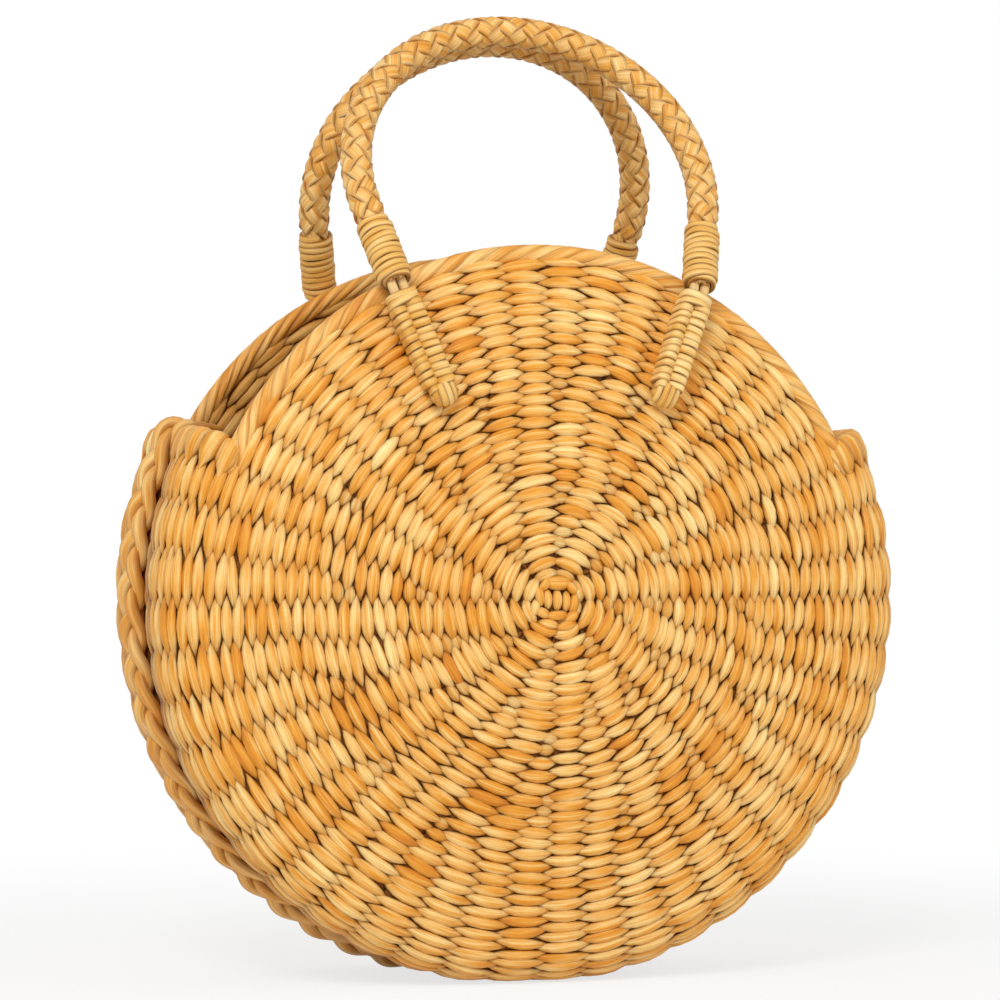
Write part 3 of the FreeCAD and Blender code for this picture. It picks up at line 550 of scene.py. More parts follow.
# %% Write the half's surface
ARC_ENDS = np.array([DOME_RUN, DOME_RUN + CORNER_RUN, LIP_END])
ARC_STARTS = np.array([0, *ARC_ENDS])
ARC_RADIUS = np.array([DOME_RADIUS, CORNER_RADIUS, LIP_RADIUS, FOLD_RADIUS])
ARC_ACROSS = np.array([0, CORNER_ACROSS, LIP_ACROSS, FOLD_ACROSS])
ARC_HEIGHT = np.array([DOME_HEIGHT, CORNER_HEIGHT, CORNER_HEIGHT, FOLD_HEIGHT])
ARC_TURN = np.array([0, RIM_ANGLE, math.pi / 2, math.pi / 2 + LIP_TURN])
HALVES = {"front": 1, "back": -1}


def section_point(run, depth):
    """Radius and height of the section, a run from the middle and a depth under the outside.

    Each arc gives its centre, plus its radius less the depth, times sine and cosine of the turn. What
    is left of the run past the last arc goes straight on.
    """
    arc = np.searchsorted(ARC_ENDS, run)
    ahead = np.clip(run - WALL_RUN, 0, None)
    turn = ARC_TURN[arc] + (run - ahead - ARC_STARTS[arc]) / ARC_RADIUS[arc]
    reach = ARC_RADIUS[arc] - depth
    return (ARC_ACROSS[arc] + reach * np.sin(turn) + ahead * np.cos(turn),
            ARC_HEIGHT[arc] + reach * np.cos(turn) - ahead * np.sin(turn))


def on_wall(run, angle, depth):
    """Point of the half in its own frame: x to the side, y up, z out of the disc."""
    radius, height = section_point(run, depth)
    return np.stack(np.broadcast_arrays(radius * np.cos(angle), radius * np.sin(angle), height), axis=-1)


def stand(points, half):
    """From a half's own frame to the bag's: upright at the front, or turned half round at the back."""
    way = HALVES[half]
    return np.stack([way * points[..., 0], -way * points[..., 2], points[..., 1] + AXIS_HEIGHT], axis=-1)


def turned(frame_place, ways, *where):
    """Directions put through a frame's formula, such as stand: where they end less where they start."""
    return frame_place(ways, *where) - frame_place(np.zeros(3), *where)


def placed(frame_place, path, normal, *where):
    """A path and its normals, both put through a frame's formula."""
    return frame_place(path, *where), turned(frame_place, normal, *where)


print("arcs end at", ARC_ENDS.round(1), "and", round(WALL_RUN, 1))

# %% [markdown]
# The weave's columns
#
# The leaf goes round and round, over one stake and under the next, so each stake shows a column of
# plump stitches, and neighbouring columns are half a stitch out of step. The columns fan out from the
# middle. Where they get too wide, a new pair of stakes is put in. A column's share of the circle grows
# from nothing about its start, so the pattern opens softly, as it does by hand.

# %% Work out where the columns run
BLOCKS = 8
STITCH_PITCH = 5.25
SPARE_ROWS = 3
FAN_RUN = 34.0
FAN_LEAD = 8.5
KNOT_RUN = 9.5
SECOND_STARTS = (19, 25)
THIRD_STARTS = (40, 62)
FOURTH_STARTS = (86, 112)
PHASE_STEPS = 6


def column_starts():
    """Start of each column, block by block: main, third, fourth, second, third, fourth."""
    main = np.full(BLOCKS, KNOT_RUN)
    second = rng.uniform(*SECOND_STARTS, BLOCKS)
    third = rng.uniform(*THIRD_STARTS, (2, BLOCKS))
    fourth = rng.uniform(*FOURTH_STARTS, (2, BLOCKS))
    return np.stack([main, third[0], fourth[0], second, third[1], fourth[1]], axis=1).ravel()


STARTS = column_starts()
COLUMNS = len(STARTS)
PER_BLOCK = COLUMNS // BLOCKS
STEP_WAYS = np.tile([1, -1], COLUMNS // 2)
COLUMN_NUMBERS = np.arange(COLUMNS)[:, None]


def smooth_step(value):
    """0 below 0, 1 above 1, and 3v^2 - 2v^3 between."""
    value = np.clip(value, 0, 1)
    return value * value * (3 - 2 * value)


def column_layout(run):
    """Middle angle, width in angle and phase of every column at its own runs (column, row).

    A column's weight grows along FAN_RUN about its start. Within its block, its width is its share of
    the weights. The phase steps up and down by half of each weight, so neighbours are half a stitch
    apart; what is left over after a full turn is spread over all the columns. Angles count from the top.
    """
    weights = smooth_step((run[None] - STARTS[:, None, None] + FAN_LEAD) / FAN_RUN)
    weights[::PER_BLOCK] = 1.0
    shares = weights.reshape(BLOCKS, PER_BLOCK, *run.shape)
    shares = shares / shares.sum(axis=1, keepdims=True) / BLOCKS
    widths = shares.reshape(COLUMNS, *run.shape) * 2 * np.pi
    middles = np.cumsum(widths, axis=0) - widths / 2
    phases = np.cumsum(0.5 * STEP_WAYS[:, None, None] * weights, axis=0)
    left_over = phases[-1]
    own = np.arange(COLUMNS)
    phase = phases[own, own] - left_over * (COLUMN_NUMBERS + 1) / COLUMNS + COLUMN_NUMBERS / COLUMNS
    return middles[own, own], widths[own, own], phase


def stitch_places(shift):
    """Run, middle angle and width of every stitch: run = pitch times (row + phase), found in a few steps."""
    rows = np.arange(int(WALL_RUN / STITCH_PITCH) + SPARE_ROWS)[None, :] + np.zeros((COLUMNS, 1)) + shift
    run = rows * STITCH_PITCH
    for _ in range(PHASE_STEPS):
        phase = column_layout(run)[2]
        run = (rows + phase) * STITCH_PITCH
    return run, *column_layout(run)[:2]


print("columns:", COLUMNS, "starts from", round(STARTS.min(), 1), "to", round(STARTS.max(), 1))

# %% [markdown]
# Stitches
#
# A stitch is a leaf folded to a soft lens: widest over its stake, with pointed ends that dive under
# the stitches beside it. Each stitch is a grid of a few rings, and every vertex goes through the
# wall's formula, so the stitches follow the dome, the edge and the side without any fitting. They
# differ a little in width, length, tilt and tone.

# %% Choose the stitches
MOUTH_RUN = DOME_RADIUS * math.asin((RIM_RADIUS - MOUTH_BORDER - BORDER_CLEARANCE) / DOME_RADIUS)
WALL_START = math.pi - SHOULDER_ANGLE
WALL_STOP = 2 * math.pi + SHOULDER_ANGLE
STITCH_REACH = 0.7
STITCH_LENGTHS = (0.95, 1.08)
LEAST_WIDTH = 3.0
LEAST_REACH = 5.2
LEAST_SHOWN = 0.7
EARLY_START = 5.0
MOUTH_LAP = 0.55
TONE_MIDDLE = 0.60
TONE_SPREAD = 0.10
# Waves of the tone along the runs, and of their phase round the bag: amount and rate.
TONE_WAVE = (0.07, 1 / 9)
TONE_DRIFT = (2.1, 3)
ODD_SHARE = 0.06
ODD_DROP = 0.36


def wave(place, amount, rate, phase=0.0):
    """Amount times the sine of (rate times place, plus phase)."""
    return amount * np.sin(rate * place + phase)


def in_mouth(angle):
    """Whether an angle lies between the shoulders at the top, where there is no wall."""
    return (angle < WALL_START) | (angle > WALL_STOP)


def wall_stitches(shift):
    """Run, start angle and stop angle of the stitches that fit on the half, with their tones."""
    run, middle, width = stitch_places(shift)
    tone = TONE_MIDDLE + wave(run, *TONE_WAVE, wave(middle, *TONE_DRIFT))
    tone = tone + rng.normal(0, TONE_SPREAD, run.shape)
    tone = tone - ODD_DROP * (rng.random(run.shape) < ODD_SHARE)
    radius = np.maximum(section_point(run, 0)[0], KNOT_RUN)
    reach = np.maximum(STITCH_REACH * width, LEAST_REACH / radius)
    reach = reach * rng.uniform(*STITCH_LENGTHS, run.shape)
    middle = middle + math.pi / 2
    open_top = in_mouth(middle)
    disc_end = MOUTH_RUN + MOUTH_LAP * STITCH_PITCH
    free = open_top | (run < disc_end)
    start = np.where(free, middle - reach, np.maximum(middle - reach, WALL_START))
    stop = np.where(free, middle + reach, np.minimum(middle + reach, WALL_STOP))
    first = np.maximum(STARTS - EARLY_START, KNOT_RUN)[:, None]
    last = np.where(open_top, disc_end, WALL_RUN)
    kept = (run > first) & (run < last)
    kept = kept & (width * radius > LEAST_WIDTH) & (stop - start > LEAST_SHOWN * reach)
    return run[kept], start[kept], stop[kept], np.clip(tone[kept], 0, 1)


print("the weave stops at runs", round(MOUTH_RUN, 1), "by the mouth,", round(WALL_RUN, 1), "at the seam")

# %% Lay the stitches on both sides of the wall
SECTION_ACROSS = np.array([1, 0.78, 0.3, -0.3, -0.78, -1, 0])
SECTION_RISE = np.array([0, 0.62, 0.97, 0.97, 0.62, 0, -1])
STITCH_RISE = 1.75
STITCH_SINK = 1.2
LENS_RISE = SECTION_RISE * np.where(SECTION_RISE > 0, STITCH_RISE, STITCH_SINK)
STITCH_FULLNESS = 1.2
STITCH_WIDTHS = (0.93, 1.1)
TILT_SPREAD = 0.045
OFFSET_SPREAD = 0.22
DEPTH_SPREAD = 0.22
TIP_POWER = 0.95
STITCH_MIDDLE_DEPTH = 1.75
STITCH_DIVE = 2.1
SMALL_RANGE = 3.0
SMALL_SINK = 1.1
SMALL_SLIM = 0.1
# Painted shade, mixed towards brown, at the stitches' edges.
EDGE_PAINTED_SHADE = 0.42
# Darker towards the ends: partly painted shade where the ends dive under their neighbours, partly the leaf's
# own amber.
ALONG_SHADE_AND_TINT = 0.34
TIP_SHADE_AND_TINT = 0.4
# Painted shade on small stitches, which lie lower, and on the wall near the seam, over SEAM_SHADE
# millimetres.
SMALL_PAINTED_SHADE = 0.22
SEAM_PAINTED_SHADE = 0.66
SEAM_SHADE = 36.0
WEAVES = {
    "outside": {"shift": 0.0, "rings": 7, "material": weave_straw, "slot": "straw_weave",
                "node": "outer_weave"},
    "inside": {"shift": 0.5, "rings": 5, "material": lining_straw, "slot": "straw_lining_side",
               "node": "inner_weave"},
}


def lens_places(count):
    """Places x along a lens, from -1 to 1 with both ends, closer together towards the ends."""
    return np.sin(np.linspace(-1, 1, count + 2) * np.pi / 2)[None]


def lens_depth(middle_depth, x):
    """Depth of a lens's rings: the middle line dives by x^2, and the thickness goes as (1 - x^2)^0.5."""
    x = x[..., None]
    return middle_depth + STITCH_DIVE * x * x - LENS_RISE * (1 - x * x) ** 0.5


def lens_edge(dark):
    """Shade round a lens's section: partly at its two edges, fully on its underside."""
    return np.maximum(np.abs(SECTION_ACROSS) ** 4 * dark, np.clip(-SECTION_RISE, 0, 1))


def stitch_lenses(run, start, stop, ring_count, inside):
    """Points, places along and across, and shade of lens-shaped stitches.

    At x from -1 to 1, the half width is (1 - x^2)^TIP_POWER of the full one. Small stitches, where a
    column starts, lie lower. On the inside of the wall, depth is counted from the other face.
    """
    count = len(run)
    full = 0.5 * STITCH_PITCH * STITCH_FULLNESS * rng.uniform(*STITCH_WIDTHS, count)
    tilt = rng.normal(0, TILT_SPREAD, count)
    offset = rng.normal(0, OFFSET_SPREAD, count)
    depth = STITCH_MIDDLE_DEPTH + rng.normal(0, DEPTH_SPREAD, count)
    run, start, stop, full, tilt, offset, depth = (
        a[:, None] for a in (run, start, stop, full, tilt, offset, depth))
    x = lens_places(ring_count)
    half_length = (stop - start) / 2 * section_point(run, 0)[0]
    small = 1 - smooth_step((half_length - LEAST_REACH) / SMALL_RANGE)
    half_width = full * (1 - SMALL_SLIM * small) * (1 - x * x) ** TIP_POWER
    across = half_width[..., None] * SECTION_ACROSS
    below = lens_depth((depth + SMALL_SINK * small)[..., None], x)
    if inside:
        across, below = -across, WALL - below
    line = run + offset + tilt * half_length * x
    angle = (start + stop) / 2 + (stop - start) / 2 * x
    points = on_wall(line[..., None] + across, angle[..., None], below)
    # Painted shade: stitches darken over the last SEAM_SHADE millimetres before the seam, where the groove
    # is shaded.
    seam = SEAM_PAINTED_SHADE * smooth_step((run - WALL_RUN + SEAM_SHADE) / SEAM_SHADE)
    # Ends: painted shade where they dive, and the leaf's amber; small stitches get painted shade.
    dark = ALONG_SHADE_AND_TINT * x * x + TIP_SHADE_AND_TINT * np.abs(x) ** 6 + seam + SMALL_PAINTED_SHADE * small
    return points, half_length * x, across, np.clip(lens_edge(EDGE_PAINTED_SHADE) + dark[..., None], 0, 1)


def add_lenses(name, half, points, along, across, shade, tone, material):
    """Lenses as one piece: their first and last rings have closed to points, which become the tips."""
    points = stand(points, half)
    return strand_mesh(name, points[:, 1:-1], points[:, [0, -1], 0], along[:, 1:-1], across[:, 1:-1],
                       tone, shade[:, 1:-1], material)


def add_weave(half, side):
    """One side of a half's weave, outside or inside, as one piece."""
    weave = WEAVES[side]
    run, start, stop, tone = wall_stitches(weave["shift"])
    lenses = stitch_lenses(run, start, stop, weave["rings"], side == "inside")
    piece = add_lenses(f"{half}_weave_{side}", half, *lenses, tone, weave["material"])
    place_piece(piece, "bag", weave["slot"], f"{half}_{weave['node']}")


for half in HALVES:
    for side in WEAVES:
        add_weave(half, side)

# %% [markdown]
# Stakes
#
# Under the stitches lie the stakes that they go over and under: flat ribs that fan out from the knot
# in the middle, side by side. Little of them shows, but without them light would come through the
# gaps between the stitches. Each rib is one wide strand on the same wall formula, cut off where the
# wall ends.

# %% Lay the stakes
# The stakes take the darker straw: painted shade of the gaps.
STAKE = strand_kind(shaded_straw, places=6, squareness=0.6, dark=0)
STAKE_TONES = (0.2, 0.8)
STAKE_DEPTH = 3.9
STAKE_LAYER = 0.2
STAKE_PAST = 4.0
STAKE_HALF_THICK = 0.5
STAKE_COVER = 0.54
STAKE_RINGS = 44


def add_stakes(half):
    """One flat rib for each column: half its width each way in angle, at a depth between the weaves."""
    wide, thick = STAKE["section"].T
    open_top = in_mouth(stitch_places(0.0)[1][:, -1:] + math.pi / 2)
    start = STARTS[:, None] - STAKE_PAST
    stop = np.where(open_top, MOUTH_RUN + MOUTH_BORDER / 2, WALL_RUN + STAKE_PAST)
    run = start + (stop - start) * np.linspace(0, 1, STAKE_RINGS)[None]
    middle, width, _ = column_layout(run)
    middle = middle + math.pi / 2
    spread = STAKE_COVER * width[..., None] * wide
    angle = middle[..., None] + spread
    free = open_top | (run < MOUTH_RUN)
    angle = np.where(free[..., None], angle, np.clip(angle, WALL_START, WALL_STOP))
    depth = STAKE_DEPTH + STAKE_LAYER * STEP_WAYS[:, None]
    rings = on_wall(run[..., None], angle, depth[..., None] - STAKE_HALF_THICK * thick)
    tips = on_wall(run[:, [0, -1]], middle[:, [0, -1]], depth)
    tone = rng.uniform(*STAKE_TONES, COLUMNS)
    piece = strand_mesh(f"{half}_ribs", stand(rings, half), stand(tips, half), run, spread * run[..., None],
                        tone, STAKE["shade"], STAKE["material"])
    place_piece(piece, "bag", "straw_stake", f"{half}_stakes")


for half in HALVES:
    add_stakes(half)

# %% [markdown]
# The knot in the middle
#
# The weave starts from a few crossed strands: one flat strand upright, leaves on both sides of it, a
# broad leaf over it and one under it. They are placed one by one, as the maker places them, so here a
# short list is right. The leaves are lenses like the stitches, on straight lines.

# %% Lay the middle knot
# Each row: across and up from the middle, turn in degrees, half length and half width.
KNOT_LEAVES = np.array([
    (0.3, 0.2, 90, 5.6, 2.5),
    (-4.2, 0.6, 92, 5.2, 2.3),
    (4.6, -0.4, 88, 5.4, 2.2),
    (8.2, -1.6, 80, 5.4, 2.4),
    (-8.0, 2.0, 97, 5.6, 2.4),
    (0.8, 8.0, 0, 7.6, 3.5),
    (0.2, -6.8, 2, 6.4, 2.4),
    (-6.6, -5.6, -28, 4.6, 2.4),
    (7.2, -7.4, 38, 4.8, 2.6),
    (-5.4, 7.4, 55, 4.4, 2.3),
    (7.4, 5.4, -52, 4.2, 2.3),
    (-3.4, -10.6, -12, 5.2, 2.5),
    (5.0, -11.4, 16, 5.4, 2.6),
    (-10.4, -3.4, 72, 5.0, 2.4),
])
KNOT_DEPTH = 0.9
KNOT_TIP_POWER = 0.6
KNOT_LEAF_RINGS = 7
# Painted shade at the leaves' edges, and towards their tips, where it is partly the leaf's own amber too.
KNOT_EDGE_PAINTED_SHADE = 0.5
KNOT_TIP_SHADE_AND_TINT = 0.6
KNOT_TONES = (0.3, 0.75)


def add_knot(half):
    """Leaves near the middle: half width goes as (1 - x^2)^KNOT_TIP_POWER, and the ends dive."""
    left, up, turn, length, width = KNOT_LEAVES.T[:, :, None, None]
    turn = np.radians(turn)
    x = lens_places(KNOT_LEAF_RINGS)
    ahead = length * x[..., None]
    aside = width * (1 - x * x)[..., None] ** KNOT_TIP_POWER * SECTION_ACROSS
    side = left + ahead * np.cos(turn) - aside * np.sin(turn)
    above = up + ahead * np.sin(turn) + aside * np.cos(turn)
    points = on_wall(np.hypot(side, above), np.arctan2(above, side), lens_depth(KNOT_DEPTH, x))
    # Tips darker: painted shade where they dive, and partly the leaf's amber.
    dark = KNOT_TIP_SHADE_AND_TINT * np.abs(x) ** 5
    shade = np.clip(lens_edge(KNOT_EDGE_PAINTED_SHADE) + dark[..., None], 0, 1)
    tone = rng.uniform(*KNOT_TONES, len(KNOT_LEAVES))
    piece = add_lenses(f"{half}_knot_leaves", half, points, ahead[..., 0], aside, shade, tone, weave_straw)
    place_piece(piece, "bag", "straw_stake", f"{half}_stake_hub")


for half in HALVES:
    add_knot(half)

# %% [markdown]
# Border of the mouth
#
# Along the open edge of each disc, five strands are twisted to a slim rope that holds the stakes'
# ends. A twist is a helix round the edge's own circle. The leaves are pressed flat where they face up
# and out, so there they get broader. Past the shoulders, the rope sinks into the wall, where its ends
# are tucked away.

# %% Twist the mouth borders
TWIST = strand_kind(border_straw, places=10, squareness=0.85, dark=0.6)
TWIST_TONES = (0.3, 0.75)
MOUTH_AXIS = RIM_RADIUS - MOUTH_BORDER / 2
MOUTH_HEIGHT = DOME_HEIGHT + math.sqrt((DOME_RADIUS - WALL / 2) ** 2 - MOUTH_AXIS ** 2)
TWIST_LAY = 54.0
TWIST_STRANDS = 5
TWIST_RADIUS = 2.5
TWIST_HALF_WIDTH = 2.45
TWIST_HALF_THICK = 1.85
TWIST_FACE = math.radians(60)
TWIST_PRESS = 0.25
# Waves along the twist: amount and rate.
TWIST_SWAY = (0.12, 7)
TWIST_SWELL = (0.1, 23)
TWIST_RINGS = 300
TUCK_RUN = 16.0
TUCK_DEPTH = 6.0


def add_mouth_border(half):
    """Helices round a circle's arc, evenly spaced; the arc sinks at both ends to tuck them in."""
    reach = SHOULDER_ANGLE - TUCK_RUN / MOUTH_AXIS
    angle = np.linspace(reach, math.pi - reach, TWIST_RINGS)[None]
    past = np.maximum(SHOULDER_ANGLE - angle, angle - (math.pi - SHOULDER_ANGLE)) * MOUTH_AXIS
    height = MOUTH_HEIGHT - TUCK_DEPTH * smooth_step(past / TUCK_RUN)
    strand = np.arange(TWIST_STRANDS)[:, None] / TWIST_STRANDS * 2 * np.pi
    turn = angle * MOUTH_AXIS / TWIST_LAY * 2 * np.pi + strand + wave(angle, *TWIST_SWAY, strand)
    out = around(angle, X_WAY, Y_WAY)
    normal = around(turn, out, Z_WAY)
    path = out * MOUTH_AXIS + Z_WAY * height[..., None] + TWIST_RADIUS * normal
    width = TWIST_HALF_WIDTH * (1 + wave(angle, *TWIST_SWELL, 2 * strand))
    width = width * (1 + TWIST_PRESS * np.cos(turn - TWIST_FACE))
    piece = add_swept(f"{half}_mouth_twist", TWIST, *placed(stand, path, normal, half), width,
                      TWIST_HALF_THICK, rng.uniform(*TWIST_TONES, TWIST_STRANDS))
    place_piece(piece, "bag", "straw_border", f"{half}_mouth_border")


for half in HALVES:
    add_mouth_border(half)

# %% [markdown]
# Plait along the seam
#
# Where the halves meet, each wall ends in a flat plait of three broad leaves, from one shoulder round
# the bottom to the other. The front one lies on the band that slants in to the seam. The back one is
# broader and stands up beside it, so that a dark groove shows between the halves. In a plait each
# strand swings from side to side while it goes over and under once for each side: a sine across, and a
# sine of twice the rate for the height. At the shoulders the plait turns over the edge and down inside.

# %% Plait the seam borders
PLAIT = strand_kind(border_straw, places=10, squareness=0.8, dark=0.6)
PLAIT_TONES = np.array([0.4, 0.55, 0.7])
PLAIT_LAY = 57.0
PLAIT_OVER = 5.0
PLAIT_CURL = 7.0
CURL_TURN = math.radians(115)
PLAIT_RINGS = 420
PLAIT_SWELL = (0.08, 1 / 17)
PLAITS = {
    "front": {"run": WALL_RUN + 4.6, "depth": 1.6, "tilt": SEAM_TILT, "swing": 3.2, "lift": 1.4,
              "half_width": 3.4, "half_thick": 1.7},
    "back": {"run": WALL_RUN - 2.2, "depth": -1.3, "tilt": math.radians(21), "swing": 5.0, "lift": -1.9,
             "half_width": 4.2, "half_thick": 2.2},
}


def add_seam_plait(half):
    """Three strands by the seam: across = swing sin(t), height = lift sin(2t), a third of a turn apart."""
    plait = PLAITS[half]
    tilt = plait["tilt"]
    radius, height = section_point(plait["run"], plait["depth"])
    top_angle = SHOULDER_ANGLE + PLAIT_OVER / radius
    span = (math.pi + 2 * top_angle) * radius
    curl_run = PLAIT_CURL * CURL_TURN
    q = np.linspace(-curl_run, span + curl_run, PLAIT_RINGS)[None]
    curl = np.clip(np.maximum(-q, q - span), 0, None) / PLAIT_CURL
    angle = math.pi - top_angle + np.clip(q, 0, span) / radius
    out = around(angle, X_WAY, Y_WAY)
    ahead = around(angle, Y_WAY, -X_WAY) * np.where(q < 0, -1, 1)[..., None]
    middle = out * (radius - PLAIT_CURL * (1 - np.cos(curl)))[..., None] + Z_WAY * height
    middle = middle + ahead * (PLAIT_CURL * np.sin(curl))[..., None]
    facing = around(curl, out, ahead)
    normal = facing * math.cos(tilt) - Z_WAY * math.sin(tilt)
    side = -facing * math.sin(tilt) - Z_WAY * math.cos(tilt)
    strand = np.arange(3)[:, None] / 3 * 2 * np.pi
    turn = q / PLAIT_LAY * 2 * np.pi + strand
    across = plait["swing"] * np.sin(turn)
    lift = plait["lift"] * np.sin(2 * turn)
    path = middle + across[..., None] * side + lift[..., None] * normal
    width = plait["half_width"] * (1 + wave(q, *PLAIT_SWELL, 3 * strand))
    piece = add_swept(f"{half}_seam_plait", PLAIT, *placed(stand, path, normal, half), width,
                      plait["half_thick"], PLAIT_TONES)
    place_piece(piece, "bag", "straw_border", f"{half}_seam_border")


for half in HALVES:
    add_seam_plait(half)

# %% [markdown]
# Closing strands in the groove
#
# At the bottom of the groove, the two halves are sewn edge to edge. Under each plait, three flat strands
# run along the slanting band and close it, so that no light comes through between the halves. Each one
# lies at a run of its own on the wall's formula, well under the outside.

# %% Close the groove
CLOSING = strand_kind(border_straw, places=8, squareness=0.7, dark=0.7)
# Lower tones than the plait's and darker edges: painted shade, for strands deep in the groove.
CLOSING_TONES = np.array([0.3, 0.5, 0.4])
CLOSING_RUNS = np.array([4.0, 9.2, 14.6])
CLOSING_DEPTH = 5.0
CLOSING_HALF_WIDTH = 3.3
CLOSING_HALF_THICK = 1.0
CLOSING_RINGS = 160


def add_closing_strands(half):
    """Three arcs round the bag, each at a fixed run and depth; their width lies along the band."""
    run = (WALL_RUN + CLOSING_RUNS)[:, None]
    angle = np.linspace(WALL_START, WALL_STOP, CLOSING_RINGS)[None]
    path = on_wall(run, angle, CLOSING_DEPTH)
    normal = path - on_wall(run, angle, CLOSING_DEPTH + 1)
    piece = add_swept(f"{half}_closing_strands", CLOSING, *placed(stand, path, normal, half),
                      CLOSING_HALF_WIDTH, CLOSING_HALF_THICK, CLOSING_TONES)
    place_piece(piece, "bag", "straw_border", f"{half}_seam_border")


for half in HALVES:
    add_closing_strands(half)

# %% [markdown]
# Loops on the shoulders
#
# Where the wall stops, each row of leaf turns round the last stake and goes back. From outside that
# is a row of plump loops over the end of the wall. Each loop goes up the outside, over the top in a
# half circle and down the inside. From here on most pieces come four times, for both sides of both
# halves.

# %% Turn the loops on the shoulders
LOOP = strand_kind(weave_straw, places=8, squareness=0.85, dark=0.6)
LOOP_TONES = (0.3, 0.9)
LOOP_LEG = 14.0
LOOP_PITCH = 9.2
LOOP_RADIUS = 3.0
LOOP_SHIFT_SPREAD = 0.3
LOOP_RISE = 3.4
LOOP_RISES = (0.75, 1.1)
LOOP_HEART = 0.6
LOOP_SLANT = -0.1
LOOP_SLANT_SPREAD = 0.06
LOOP_EASE = 0.7
LOOP_TIP = 0.15
LOOP_HALF_WIDTH = 5.2
LOOP_HALF_THICK = 2.5
LOOP_RINGS = 21
SIDES = {"left": -1, "right": 1}
CORNERS = [(half, side) for half in HALVES for side in SIDES]


def own_side(half, side):
    """1 or -1: the sign of x in a half's own frame for a side as seen from the front."""
    return HALVES[half] * SIDES[side]


def add_shoulder_loops(half, side):
    """Loops on one end of a half's wall: two legs and a half circle, in depth and in angle."""
    own = own_side(half, side)
    run = np.arange(DOME_RUN, WALL_RUN, LOOP_PITCH)[:, None]
    run = run + rng.normal(0, LOOP_SHIFT_SPREAD, run.shape)
    total = 2 * LOOP_LEG + math.pi * LOOP_RADIUS
    q = np.linspace(0, total, LOOP_RINGS)[None]
    end = np.minimum(q, total - q)
    turn = np.clip((q - LOOP_LEG) / LOOP_RADIUS, 0, math.pi)
    up = np.minimum(end - LOOP_LEG, 0) + LOOP_RADIUS * np.sin(turn)
    up = up + LOOP_RISE * rng.uniform(*LOOP_RISES, run.shape)
    slant = LOOP_SLANT + rng.normal(0, LOOP_SLANT_SPREAD, run.shape)
    radius = section_point(run, WALL / 2)[0]
    edge = SHOULDER_ANGLE if own > 0 else math.pi - SHOULDER_ANGLE
    angle = edge + own * up / radius
    path = on_wall(run + slant * up, angle, WALL / 2 - LOOP_RADIUS * np.cos(turn))
    heart = on_wall(run + slant * up, edge + own * LOOP_HEART / radius, WALL / 2)
    outside = on_wall(run, angle, 0) - on_wall(run, angle, WALL)
    normal = unit(around(turn, unit(outside), unit(path - heart)))
    taper = LOOP_TIP + (1 - LOOP_TIP) * smooth_step(end / (LOOP_EASE * LOOP_LEG))
    piece = add_swept(f"{half}_{side}_shoulder_loops", LOOP, *placed(stand, path, normal, half),
                      LOOP_HALF_WIDTH * taper, LOOP_HALF_THICK * taper, rng.uniform(*LOOP_TONES, len(run)))
    place_piece(piece, "bag", "straw_border", f"{half}_{side}_shoulder_border")


for half, side in CORNERS:
    add_shoulder_loops(half, side)

# %% [markdown]
# Lines of the handles
#
# Each handle is an arch with two straight ends that lean outwards. Its plane leans in, so that the two
# handles meet over the mouth. One formula gives a point of the rope's middle line by its distance from
# the left foot, in the handle's own frame: x to the side, z up the handle's plane. A second one stands
# that frame on the bag, at the height of the joints.

# %% Work out the handles' lines
STRAND = 4.6
STRAND_STEP = 2.5
HINGE_GAP = 5.5
FOOT_HALF_SPAN = 72.0
ROPE = 14.6
HANDLE_GAP = 1.0
MEETING_OFFSET = 8.5
WHIPPING_TURNS = 10
WHIPPING_PITCH = 3.0
CORD = 2.4
WRAP_CLEARANCE = 0.15
WHIPPING_TOP = HINGE_GAP / 2 + WHIPPING_TURNS * WHIPPING_PITCH + CORD + 2 * WRAP_CLEARANCE
hinge = frame["record"]["behaviour"]["joints"][0]["pos_m"]
HINGE_HEIGHT = hinge[2] / MM
FOOT_OUT = abs(hinge[1]) / MM - STRAND / 2


def handle_line(straight, splay, offset):
    """Length of the straight ends, radius and centre of the arch, and lean of the handle's plane."""
    end = WHIPPING_TOP + straight
    arch = (FOOT_HALF_SPAN + end * math.sin(splay)) / math.cos(splay)
    centre = end * math.cos(splay) + arch * math.sin(splay)
    lean = math.asin((FOOT_OUT + offset - (ROPE + HANDLE_GAP) / 2) / (centre + arch))
    total = 2 * end + arch * (math.pi + 2 * splay)
    return {"end": end, "splay": splay, "arch": arch, "centre": centre, "lean": lean, "total": total}


HANDLES = {
    "front": handle_line(8.0, math.radians(12), MEETING_OFFSET),
    "back": handle_line(3.5, math.radians(10), -MEETING_OFFSET),
}


def hang(points, half):
    """From a handle's own frame to the bag's: leant in about the feet, the back one turned half round."""
    lean = HANDLES[half]["lean"]
    x, y, z = points[..., 0], points[..., 1], points[..., 2]
    out = y * math.cos(lean) + z * math.sin(lean) - FOOT_OUT
    up = -y * math.sin(lean) + z * math.cos(lean) + HINGE_HEIGHT
    return np.stack([HALVES[half] * x, HALVES[half] * out, up], axis=-1)


def rope_line(half, distance):
    """Point of the rope's middle line and the direction out of the arch, at a distance from the left foot.

    The arch turns from pi + splay down to -splay; a straight end goes on along the arch's own tangent.
    """
    line = HANDLES[half]
    ahead = distance - line["end"]
    round_part = line["arch"] * (math.pi + 2 * line["splay"])
    turn = math.pi + line["splay"] - np.clip(ahead, 0, round_part) / line["arch"]
    over = np.minimum(ahead, 0) + np.maximum(ahead - round_part, 0)
    out = around(turn, X_WAY, Z_WAY)
    on = around(turn, -Z_WAY, X_WAY)
    return line["arch"] * out + over[..., None] * on + line["centre"] * Z_WAY, out


